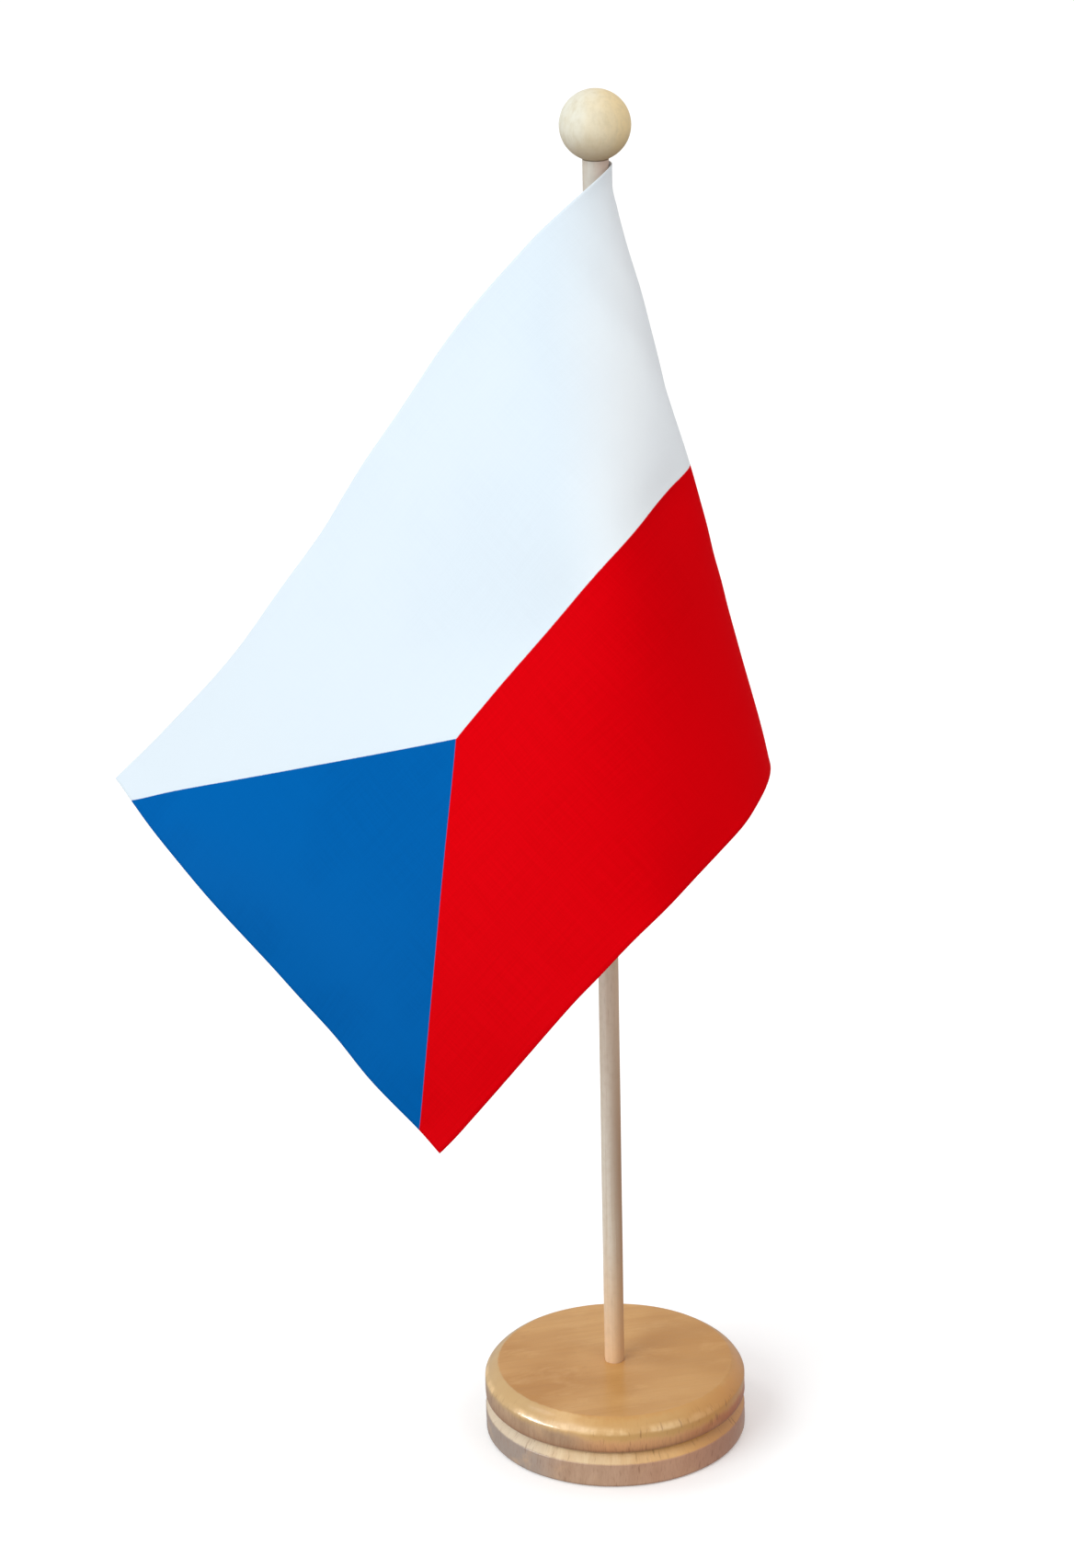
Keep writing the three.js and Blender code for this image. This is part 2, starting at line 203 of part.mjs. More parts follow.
  [-82.67, -5.75, 287.08, -81.34, -8.16, 285.94, -79.98, -10.55, 284.79, -78.12, -13.70, 283.22, -75.22, -18.32, 280.79, -71.11, -24.25, 277.40, -66.81, -29.95, 273.83, -62.37, -35.48, 270.14, -57.87, -40.90, 266.38, -53.34, -46.29, 262.58, -48.82, -51.70, 258.78, -44.35, -57.18, 255.04, -39.99, -62.83, 251.41, -35.81, -68.74, 247.99, -31.64, -74.68, 244.60, -27.34, -80.43, 241.07, -22.79, -85.81, 237.27, -17.98, -90.73, 233.19, -12.95, -95.20, 228.85, -7.77, -99.26, 224.30, -2.47, -102.95, 219.57, 2.95, -106.21, 214.65, 8.44, -109.08, 209.58],
  [-87.33, -5.19, 280.39, -86.05, -7.65, 279.31, -84.74, -10.09, 278.22, -82.94, -13.32, 276.73, -80.13, -18.05, 274.42, -76.14, -24.13, 271.14, -71.94, -29.98, 267.69, -67.62, -35.66, 264.12, -63.23, -41.26, 260.47, -58.81, -46.82, 256.79, -54.41, -52.39, 253.12, -50.03, -58.01, 249.48, -45.72, -63.73, 245.91, -41.47, -69.55, 242.43, -37.21, -75.35, 238.93, -32.83, -80.99, 235.30, -28.25, -86.31, 231.46, -23.45, -91.25, 227.37, -18.47, -95.81, 223.07, -13.34, -100.02, 218.59, -8.08, -103.91, 213.95, -2.70, -107.48, 209.17, 2.77, -110.75, 204.27],
  [-92.12, -4.82, 273.76, -90.88, -7.33, 272.75, -89.62, -9.83, 271.73, -87.88, -13.12, 270.32, -85.16, -17.97, 268.13, -81.30, -24.21, 265.01, -77.23, -30.22, 261.70, -73.03, -36.09, 258.26, -68.76, -41.86, 254.74, -64.46, -47.59, 251.19, -60.15, -53.31, 247.64, -55.84, -59.03, 244.08, -51.53, -64.76, 240.53, -47.22, -70.49, 236.97, -42.86, -76.14, 233.36, -38.38, -81.61, 229.60, -33.72, -86.80, 225.65, -28.89, -91.65, 221.51, -23.89, -96.16, 217.18, -18.75, -100.37, 212.69, -13.50, -104.31, 208.08, -8.15, -107.98, 203.36, -2.70, -111.44, 198.52],
  [-96.96, -4.59, 267.16, -95.78, -7.16, 266.23, -94.58, -9.72, 265.29, -92.92, -13.09, 263.99, -90.31, -18.06, 261.93, -86.58, -24.47, 258.99, -82.65, -30.67, 255.84, -78.58, -36.72, 252.56, -74.44, -42.67, 249.19, -70.24, -48.56, 245.77, -66.00, -54.39, 242.30, -61.72, -60.16, 238.79, -57.40, -65.88, 235.22, -53.02, -71.50, 231.58, -48.55, -76.99, 227.83, -43.95, -82.27, 223.93, -39.20, -87.27, 219.86, -34.29, -91.97, 215.62, -29.24, -96.36, 211.22, -24.06, -100.47, 206.71, -18.80, -104.36, 202.09, -13.47, -108.05, 197.40, -8.12, -111.62, 192.69],
  [-101.86, -4.52, 260.60, -100.76, -7.16, 259.77, -99.63, -9.78, 258.92, -98.06, -13.23, 257.73, -95.56, -18.32, 255.84, -91.99, -24.91, 253.09, -88.20, -31.29, 250.12, -84.26, -37.52, 247.01, -80.23, -43.64, 243.79, -76.11, -49.65, 240.47, -71.91, -55.55, 237.06, -67.63, -61.34, 233.54, -63.27, -67.00, 229.92, -58.81, -72.50, 226.17, -54.23, -77.82, 222.28, -49.52, -82.89, 218.24, -44.67, -87.70, 214.05, -39.67, -92.20, 209.70, -34.53, -96.43, 205.23, -29.30, -100.39, 200.65, -23.98, -104.14, 195.99, -18.60, -107.73, 191.27, -13.17, -111.22, 186.53],
  [-106.93, -4.66, 254.16, -105.90, -7.35, 253.43, -104.83, -10.02, 252.67, -103.33, -13.55, 251.59, -100.95, -18.75, 249.86, -97.52, -25.50, 247.32, -93.86, -32.06, 244.54, -90.05, -38.45, 241.59, -86.10, -44.70, 238.49, -82.02, -50.79, 235.24, -77.83, -56.72, 231.83, -73.52, -62.48, 228.28, -69.10, -68.05, 224.57, -64.55, -73.41, 220.70, -59.86, -78.54, 216.67, -55.04, -83.41, 212.50, -50.08, -88.01, 208.18, -44.99, -92.33, 203.74, -39.78, -96.38, 199.19, -34.46, -100.17, 194.54, -29.06, -103.75, 189.83, -23.60, -107.17, 185.06, -18.09, -110.49, 180.28],
  [-112.26, -5.05, 247.95, -111.26, -7.77, 247.29, -110.21, -10.48, 246.59, -108.77, -14.05, 245.61, -106.47, -19.34, 244.03, -103.16, -26.24, 241.69, -99.63, -32.95, 239.10, -95.91, -39.47, 236.28, -92.00, -45.80, 233.24, -87.93, -51.91, 229.99, -83.71, -57.81, 226.54, -79.33, -63.48, 222.90, -74.82, -68.91, 219.07, -70.17, -74.10, 215.08, -65.37, -79.03, 210.93, -60.45, -83.71, 206.64, -55.40, -88.13, 202.23, -50.23, -92.29, 197.71, -44.94, -96.18, 193.10, -39.56, -99.81, 188.40, -34.08, -103.21, 183.63, -28.54, -106.45, 178.82, -22.97, -109.61, 174.01],
  [-117.78, -5.64, 241.91, -116.79, -8.38, 241.30, -115.77, -11.10, 240.67, -114.35, -14.71, 239.78, -112.11, -20.08, 238.33, -108.91, -27.09, 236.18, -105.47, -33.92, 233.74, -101.78, -40.51, 231.00, -97.86, -46.84, 227.95, -93.74, -52.89, 224.63, -89.44, -58.67, 221.07, -84.97, -64.18, 217.30, -80.35, -69.43, 213.35, -75.58, -74.41, 209.23, -70.68, -79.15, 204.98, -65.67, -83.65, 200.61, -60.56, -87.93, 196.15, -55.34, -91.97, 191.59, -50.01, -95.75, 186.94, -44.57, -99.26, 182.21, -39.03, -102.52, 177.40, -33.43, -105.59, 172.55, -27.80, -108.59, 167.70],
  [-123.50, -6.41, 236.06, -122.49, -9.15, 235.48, -121.46, -11.88, 234.88, -120.05, -15.51, 234.06, -117.84, -20.91, 232.74, -114.71, -28.02, 230.75, -111.29, -34.89, 228.39, -107.56, -41.44, 225.60, -103.55, -47.65, 222.43, -99.33, -53.54, 218.97, -94.91, -59.12, 215.27, -90.31, -64.41, 211.37, -85.55, -69.40, 207.29, -80.65, -74.13, 203.08, -75.66, -78.66, 198.76, -70.60, -83.03, 194.36, -65.46, -87.22, 189.88, -60.24, -91.21, 185.33, -54.90, -94.96, 180.68, -49.45, -98.41, 175.95, -43.87, -101.56, 171.13, -38.23, -104.51, 166.26, -32.59, -107.39, 161.36],
  [-129.32, -7.33, 230.29, -128.28, -10.05, 229.73, -127.21, -12.77, 229.16, -125.78, -16.38, 228.38, -123.56, -21.80, 227.14, -120.45, -28.92, 225.26, -116.95, -35.70, 222.83, -113.04, -42.03, 219.86, -108.86, -47.97, 216.50, -104.49, -53.60, 212.89, -99.93, -58.93, 209.07, -95.18, -63.93, 205.06, -90.27, -68.62, 200.90, -85.24, -73.07, 196.63, -80.18, -77.41, 192.29, -75.10, -81.67, 187.90, -69.99, -85.83, 183.45, -64.82, -89.85, 178.92, -59.55, -93.63, 174.32, -54.13, -97.10, 169.62, -48.58, -100.22, 164.83, -42.94, -103.10, 159.95, -37.34, -105.94, 155.03],
  [-135.42, -8.53, 224.80, -134.20, -11.15, 224.12, -133.01, -13.78, 223.47, -131.45, -17.32, 222.64, -129.13, -22.65, 221.38, -125.94, -29.66, 219.49, -122.19, -36.14, 216.84, -117.95, -41.99, 213.57, -113.54, -47.53, 210.04, -109.03, -52.86, 206.35, -104.36, -57.92, 202.48, -99.49, -62.65, 198.43, -94.45, -67.05, 194.25, -89.30, -71.23, 189.97, -84.19, -75.40, 185.65, -79.14, -79.60, 181.29, -74.10, -83.76, 176.88, -69.02, -87.81, 172.41, -63.86, -91.68, 167.86, -58.55, -95.22, 163.22, -53.09, -98.39, 158.48, -47.51, -101.24, 153.66, -42.02, -104.15, 148.69],
  [-141.63, -10.04, 219.43, -140.11, -12.45, 218.52, -138.69, -14.92, 217.69, -136.92, -18.29, 216.69, -134.42, -23.44, 215.32, -131.03, -30.17, 213.32, -126.87, -36.04, 210.35, -122.24, -41.22, 206.85, -117.60, -46.33, 203.23, -113.00, -51.41, 199.52, -108.27, -56.24, 195.67, -103.35, -60.74, 191.65, -98.22, -64.90, 187.48, -92.99, -68.86, 183.24, -87.87, -72.92, 178.95, -82.86, -77.08, 174.62, -77.88, -81.22, 170.25, -72.89, -85.28, 165.83, -67.87, -89.21, 161.34, -62.72, -92.85, 156.77, -57.44, -96.14, 152.11, -52.01, -99.00, 147.38, -46.84, -102.00, 142.56],
];
const mid = SHEET.map((row) => COL_T.map((_, j) => new THREE.Vector3(row[3 * j], row[3 * j + 1], row[3 * j + 2])));
const ni = ROW_S.length, nj = COL_T.length;
const front = [], back = [];
for (let i = 0; i < ni; i++) {
  front.push([]); back.push([]);
  for (let j = 0; j < nj; j++) {
    const i0 = Math.max(i - 1, 0), i1 = Math.min(i + 1, ni - 1), j0 = Math.max(j - 1, 0), j1 = Math.min(j + 1, nj - 1);
    const du = mid[i1][j].clone().sub(mid[i0][j]), dv = mid[i][j1].clone().sub(mid[i][j0]);
    const n = du.cross(dv).normalize().multiplyScalar(CLOTH_T / 2);
    front[i].push(mid[i][j].clone().add(n));
    back[i].push(mid[i][j].clone().sub(n));
  }
}
const cloth = mesh('flag_cloth', skinned(front, back, ni, nj, false), 0xe8eff6, 0.55);
if (ROW_S[ni - 1] !== FLAG_FLY || COL_T[nj - 1] !== FLAG_HOIST) throw new Error('sheet grid does not match the flat size');

// ---- assembly -----------------------------------------------------------------------
const stand = new THREE.Group();
const pole = new THREE.Group();
pole.add(dowel, collar);
const flag = new THREE.Group();
flag.add(sleeve, cloth);
stand.add(base, pole, ball, flag);

export default stand;
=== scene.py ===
# Desk flag stand: the looks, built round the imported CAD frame. Metres, +Z up.
import math

import bpy
import numpy as np
from mathutils import Matrix, Vector


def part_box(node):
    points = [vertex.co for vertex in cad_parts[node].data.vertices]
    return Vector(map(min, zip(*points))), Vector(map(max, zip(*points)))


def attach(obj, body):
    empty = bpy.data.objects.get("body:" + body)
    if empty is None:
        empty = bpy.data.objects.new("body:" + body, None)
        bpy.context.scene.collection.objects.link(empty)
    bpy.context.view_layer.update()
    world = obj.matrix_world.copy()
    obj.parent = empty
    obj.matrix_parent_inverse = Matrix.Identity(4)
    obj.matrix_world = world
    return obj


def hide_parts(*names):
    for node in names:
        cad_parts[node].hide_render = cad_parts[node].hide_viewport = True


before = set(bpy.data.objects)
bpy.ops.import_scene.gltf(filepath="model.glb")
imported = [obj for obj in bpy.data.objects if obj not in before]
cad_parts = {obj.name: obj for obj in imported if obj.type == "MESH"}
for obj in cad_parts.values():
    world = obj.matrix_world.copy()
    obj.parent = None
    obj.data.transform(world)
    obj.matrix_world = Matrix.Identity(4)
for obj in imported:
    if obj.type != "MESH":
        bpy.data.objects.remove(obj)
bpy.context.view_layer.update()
scene = bpy.context.scene
MM = 0.001

# ------------------------------------------------------------------ camera
PITCH, YAW, ROLL = 0.3612150363, -0.0176720452, -0.0221197455
CAM_AT = (0.0, -1.13125, 0.63937)


def camera_axes(el, yaw, roll):
    cy, sy, ce, se = math.cos(yaw), math.sin(yaw), math.cos(el), math.sin(el)
    fwd = Vector((sy * ce, cy * ce, -se))
    right = Vector((cy, -sy, 0.0))
    up = right.cross(fwd)
    cr, sr = math.cos(roll), math.sin(roll)
    return right * cr + up * sr, up * cr - right * sr, fwd


right, up, fwd = camera_axes(PITCH, YAW, ROLL)
cam_data = bpy.data.cameras.new("camera")
cam_data.lens = 4500.0 / 1706.0 * 36.0
cam_data.sensor_width = 36.0
cam_data.clip_start, cam_data.clip_end = 0.02, 50.0
cam = bpy.data.objects.new("camera", cam_data)
scene.collection.objects.link(cam)
m = Matrix((right, up, -fwd)).transposed().to_4x4()
m.translation = Vector(CAM_AT)
cam.matrix_world = m
scene.camera = cam

# ------------------------------------------------------------------ light
scene.view_settings.view_transform = "Standard"
scene.view_settings.look = "None"
SKY_HIGH, SKY_LOW = 0.80, 0.42
KEY_AT, KEY_E = (-1.0, -1.1, 0.95), 1.12
SOFTBOX_AT, SOFTBOX_E = (-0.90, 0.10, 1.22), 1.5
SIDE_AT, SIDE_E = (-1.11, -0.62, 0.32), 2.6
GLINT_AT, GLINT_E = (-1.15, -0.47, 0.22), 26.0
FILL_AT, FILL_E = (1.15, -1.55, 0.75), 3.6

world = bpy.data.worlds.new("studio")
scene.world = world
world.use_nodes = True
wt = world.node_tree
bg = wt.nodes["Background"]
# an even pale sky over a dimmer ground, so that rounded things keep a shaded underside
direction = wt.nodes.new("ShaderNodeTexCoord")
split = wt.nodes.new("ShaderNodeSeparateXYZ")
grade = wt.nodes.new("ShaderNodeMapRange")
grade.interpolation_type = "SMOOTHSTEP"
for k, v in (("From Min", -0.35), ("From Max", 0.30), ("To Min", SKY_LOW), ("To Max", SKY_HIGH)):
    grade.inputs[k].default_value = v
wt.links.new(direction.outputs["Generated"], split.inputs[0])
wt.links.new(split.outputs[2], grade.inputs["Value"])
wt.links.new(grade.outputs[0], bg.inputs["Strength"])
bg.inputs["Color"].default_value = (1.0, 0.985, 0.98, 1.0)


def lamp(name, kind, at, target, energy, colour, **props):
    d = bpy.data.lights.new(name, kind)
    d.energy, d.color = energy, colour
    for k, v in props.items():
        setattr(d, k, v)
    o = bpy.data.objects.new(name, d)
    scene.collection.objects.link(o)
    o.location = at
    o.rotation_mode = "QUATERNION"
    o.rotation_quaternion = (Vector(target) - Vector(at)).to_track_quat("-Z", "Y")
    return o


lamp("key", "SUN", KEY_AT, (0.0, 0.0, 0.0), KEY_E, (0.92, 1.0, 1.0), angle=math.radians(34))
lamp("softbox", "AREA", SOFTBOX_AT, (0.0, 0.0, 0.05), SOFTBOX_E, (1.0, 1.0, 1.0), shape="DISK", size=0.40)
side = lamp("side", "AREA", SIDE_AT, (0.0, 0.0, 0.02), SIDE_E, (1.0, 1.0, 1.0), shape="ELLIPSE", size=0.30, size_y=0.46)
side.visible_glossy = False
# a low window, seen only in gloss, gives the lacquered shoulder of the base its one bright glint
glint = lamp("glint", "AREA", GLINT_AT, (0.0, 0.0, 0.02), GLINT_E, (1.0, 1.0, 1.0), shape="ELLIPSE", size=0.80, size_y=0.36)
glint.visible_diffuse = False
glint.visible_transmission = False
lamp("fill", "AREA", FILL_AT, (0.0, 0.0, 0.25), FILL_E, (0.97, 0.99, 1.0), shape="DISK", size=0.9)

# ------------------------------------------------------------------ mesh helpers


def add_mesh(name, verts, faces, smooth=True):
    me = bpy.data.meshes.new(name)
    me.from_pydata([tuple(v) for v in np.asarray(verts, float)], [], faces)
    me.validate()
    me.update()
    if smooth:
        me.polygons.foreach_set("use_smooth", [True] * len(me.polygons))
    o = bpy.data.objects.new(name, me)
    scene.collection.objects.link(o)
    return o


def rounded(points, n=6, hold=0.12):
    """A profile from corners (r, z, fillet radius): each corner becomes an arc of n steps, held by a point just before and after it so that flats stay flat under smooth shading."""
    p = [np.array(q[:2], float) for q in points]
    out = []
    for i, q in enumerate(points):
        rad = q[2] if len(q) > 2 else 0
        if i in (0, len(points) - 1) or rad <= 0:
            out.append(p[i])
            continue
        a, b, c = p[i - 1], p[i], p[i + 1]
        u, v = (a - b) / np.linalg.norm(a - b), (c - b) / np.linalg.norm(c - b)
        ang = math.acos(max(-1, min(1, float(u @ v))))
        d = rad / math.tan(ang / 2)
        centre = b + (u + v) / np.linalg.norm(u + v) * (rad / math.sin(ang / 2))
        s, e = b + u * d - centre, b + v * d - centre
        if np.linalg.norm(a - b) > d + 2 * hold:
            out.append(b + u * (d + hold))
        half = math.pi - ang
        for k in range(n + 1):
            t = k / n
            w = (math.sin((1 - t) * half) * s + math.sin(t * half) * e) / math.sin(half)
            out.append(centre + w)
        if np.linalg.norm(c - b) > d + 2 * hold:
            out.append(b + v * (d + hold))
    return np.array(out)


def split_long(profile, step):
    """Adds points so that no stretch of a profile is longer than step."""
    out = [profile[0]]
    for a, b in zip(profile[:-1], profile[1:]):
        k = max(1, math.ceil(np.linalg.norm(b - a) / step))
        for i in range(1, k + 1):
            out.append(a + (b - a) * i / k)
    return np.array(out)


def turned(name, profile, segs, shape=None):
    """A turned solid in mm. The profile is closed, or runs from the axis to the axis. shape(r, z, angle) may return a changed radius and height."""
    prof = np.asarray(profile, float)
    closed = prof[0][0] > 1e-6
    ang = np.arange(segs) * 2 * math.pi / segs
    verts, rings = [], []
    for k, (r, z) in enumerate(prof):
        if r < 1e-6:
            rings.append([len(verts)])
            verts.append((0.0, 0.0, z))
            continue
        rr, zz = np.full(segs, r), np.full(segs, z)
        if shape is not None:
            rr, zz = shape(rr, zz, ang)
        rings.append(list(range(len(verts), len(verts) + segs)))
        verts.extend(zip(rr * np.cos(ang), rr * np.sin(ang), zz))
    faces = []
    pairs = list(zip(rings[:-1], rings[1:])) + ([(rings[-1], rings[0])] if closed else [])
    for a, b in pairs:
        for i in range(segs):
            j = (i + 1) % segs
            if len(a) == 1 and len(b) > 1:
                faces.append((a[0], b[j], b[i]))
            elif len(b) == 1 and len(a) > 1:
                faces.append((a[i], a[j], b[0]))
            elif len(a) > 1:
                faces.append((a[i], a[j], b[j], b[i]))
    v = np.array(verts) * MM
    vol = 0.0
    for f in faces:
        for k in range(1, len(f) - 1):
            vol += float(np.dot(v[f[0]], np.cross(v[f[k]], v[f[k + 1]])))
    if vol < 0:
        faces = [tuple(reversed(f)) for f in faces]
    return add_mesh(name, v, faces)


def spline_matrix(knots, at):
    """M so that M @ values gives the natural cubic spline through the knots at the points `at`."""
    x, n = np.asarray(knots, float), len(knots)
    h = np.diff(x)
    a, b = np.zeros((n, n)), np.zeros((n, n))
    a[0, 0] = a[-1, -1] = 1
    for i in range(1, n - 1):
        a[i, i - 1], a[i, i], a[i, i + 1] = h[i - 1], 2 * (h[i - 1] + h[i]), h[i]
        b[i, i - 1], b[i, i + 1] = 6 / h[i - 1], 6 / h[i]
        b[i, i] = -6 / h[i - 1] - 6 / h[i]
    second = np.linalg.solve(a, b)
    out = np.zeros((len(at), n))
    for r, t in enumerate(at):
        i = min(max(int(np.searchsorted(x, t, side="right")) - 1, 0), n - 2)
        d, p, q = h[i], (x[i + 1] - t) / h[i], (t - x[i]) / h[i]
        out[r, i] += p
        out[r, i + 1] += q
        out[r] += ((p**3 - p) * second[i] + (q**3 - q) * second[i + 1]) * d * d / 6
    return out


# ------------------------------------------------------------------ material helpers


class Graph:
    """A short way to write a node tree."""

    def __init__(self, name):
        self.mat = bpy.data.materials.new(name)
        self.mat.use_nodes = True
        self.t = self.mat.node_tree
        self.bsdf = self.t.nodes["Principled BSDF"]
        self.x = -200

    def node(self, kind, **props):
        n = self.t.nodes.new(kind)
        self.x -= 30
        n.location = (self.x, 0)
        for k, v in props.items():
            setattr(n, k, v)
        return n

    def put(self, n, key, value):
        s = n.inputs[key]
        if isinstance(value, bpy.types.NodeSocket):
            self.t.links.new(value, s)
        else:
            s.default_value = value

    def math(self, op, a, b=None, c=None, clamp=False):
        n = self.node("ShaderNodeMath", operation=op, use_clamp=clamp)
        for i, v in enumerate((a, b, c)):
            if v is not None:
                self.put(n, i, v)
        return n.outputs[0]

    def ramp(self, value, lo, hi, out_lo=0.0, out_hi=1.0, smooth=True):
        n = self.node("ShaderNodeMapRange", interpolation_type="SMOOTHSTEP" if smooth else "LINEAR")
        self.put(n, "Value", value)
        for k, v in (("From Min", lo), ("From Max", hi), ("To Min", out_lo), ("To Max", out_hi)):
            self.put(n, k, v)
        return n.outputs[0]

    def mix(self, f, a, b, blend="MIX"):
        n = self.node("ShaderNodeMix", data_type="RGBA", blend_type=blend)
        self.put(n, 0, f)
        self.put(n, 6, a)
        self.put(n, 7, b)
        return n.outputs[2]

    def coords(self):
        return self.node("ShaderNodeTexCoord").outputs["Object"]

    def uv(self, name):
        return self.node("ShaderNodeUVMap", uv_map=name).outputs[0]

    def xyz(self, vec):
        n = self.node("ShaderNodeSeparateXYZ")
        self.put(n, 0, vec)
        return n.outputs

    def vec(self, x, y, z):
        n = self.node("ShaderNodeCombineXYZ")
        for i, v in enumerate((x, y, z)):
            self.put(n, i, v)
        return n.outputs[0]

    def scaled(self, vec, sx, sy, sz, rot=(0, 0, 0), loc=(0, 0, 0)):
        n = self.node("ShaderNodeMapping")
        self.put(n, "Vector", vec)
        n.inputs["Scale"].default_value = (sx, sy, sz)
        n.inputs["Rotation"].default_value = rot
        n.inputs["Location"].default_value = loc
        return n.outputs[0]

    def noise(self, vec, scale=1.0, detail=2.0, rough=0.5, distort=0.0):
        n = self.node("ShaderNodeTexNoise")
        self.put(n, "Vector", vec)
        for k, v in (("Scale", scale), ("Detail", detail), ("Roughness", rough), ("Distortion", distort)):
            n.inputs[k].default_value = v
        return n.outputs["Fac"]

    def cells(self, vec, scale=1.0, rand=1.0, feature="F1", out="Distance"):
        n = self.node("ShaderNodeTexVoronoi", feature=feature)
        self.put(n, "Vector", vec)
        n.inputs["Scale"].default_value = scale
        n.inputs["Randomness"].default_value = rand
        return n.outputs[out]

    def bands(self, vec, scale, distort, detail=2.0, dscale=1.0, direction="Y", profile="SIN"):
        n = self.node("ShaderNodeTexWave", wave_type="BANDS", bands_direction=direction, wave_profile=profile)
        self.put(n, "Vector", vec)
        for k, v in (("Scale", scale), ("Distortion", distort), ("Detail", detail), ("Detail Scale", dscale)):
            n.inputs[k].default_value = v
        return n.outputs["Fac"]

    def bump(self, height, distance, strength=1.0, over=None):
        n = self.node("ShaderNodeBump")
        self.put(n, "Height", height)
        n.inputs["Distance"].default_value = distance
        n.inputs["Strength"].default_value = strength
        if over is not None:
            self.put(n, "Normal", over)
        return n.outputs[0]

    def surface(self, colour, rough, normal=None, **fixed):
        b = self.bsdf
        self.put(b, "Base Color", colour)
        self.put(b, "Roughness", rough)
        if normal is not None:
            self.put(b, "Normal", normal)
        for k, v in fixed.items():
            b.inputs[k.replace("_", " ")].default_value = v
        return self.mat


def rgb(r, g, b):
    """A colour given as it is displayed, 0-255, turned into scene-linear values."""
    lin = lambda c: (c / 255) / 12.92 if c <= 10 else (((c / 255) + 0.055) / 1.055) ** 2.4
    return (lin(r), lin(g), lin(b), 1.0)


# ------------------------------------------------------------------ wood


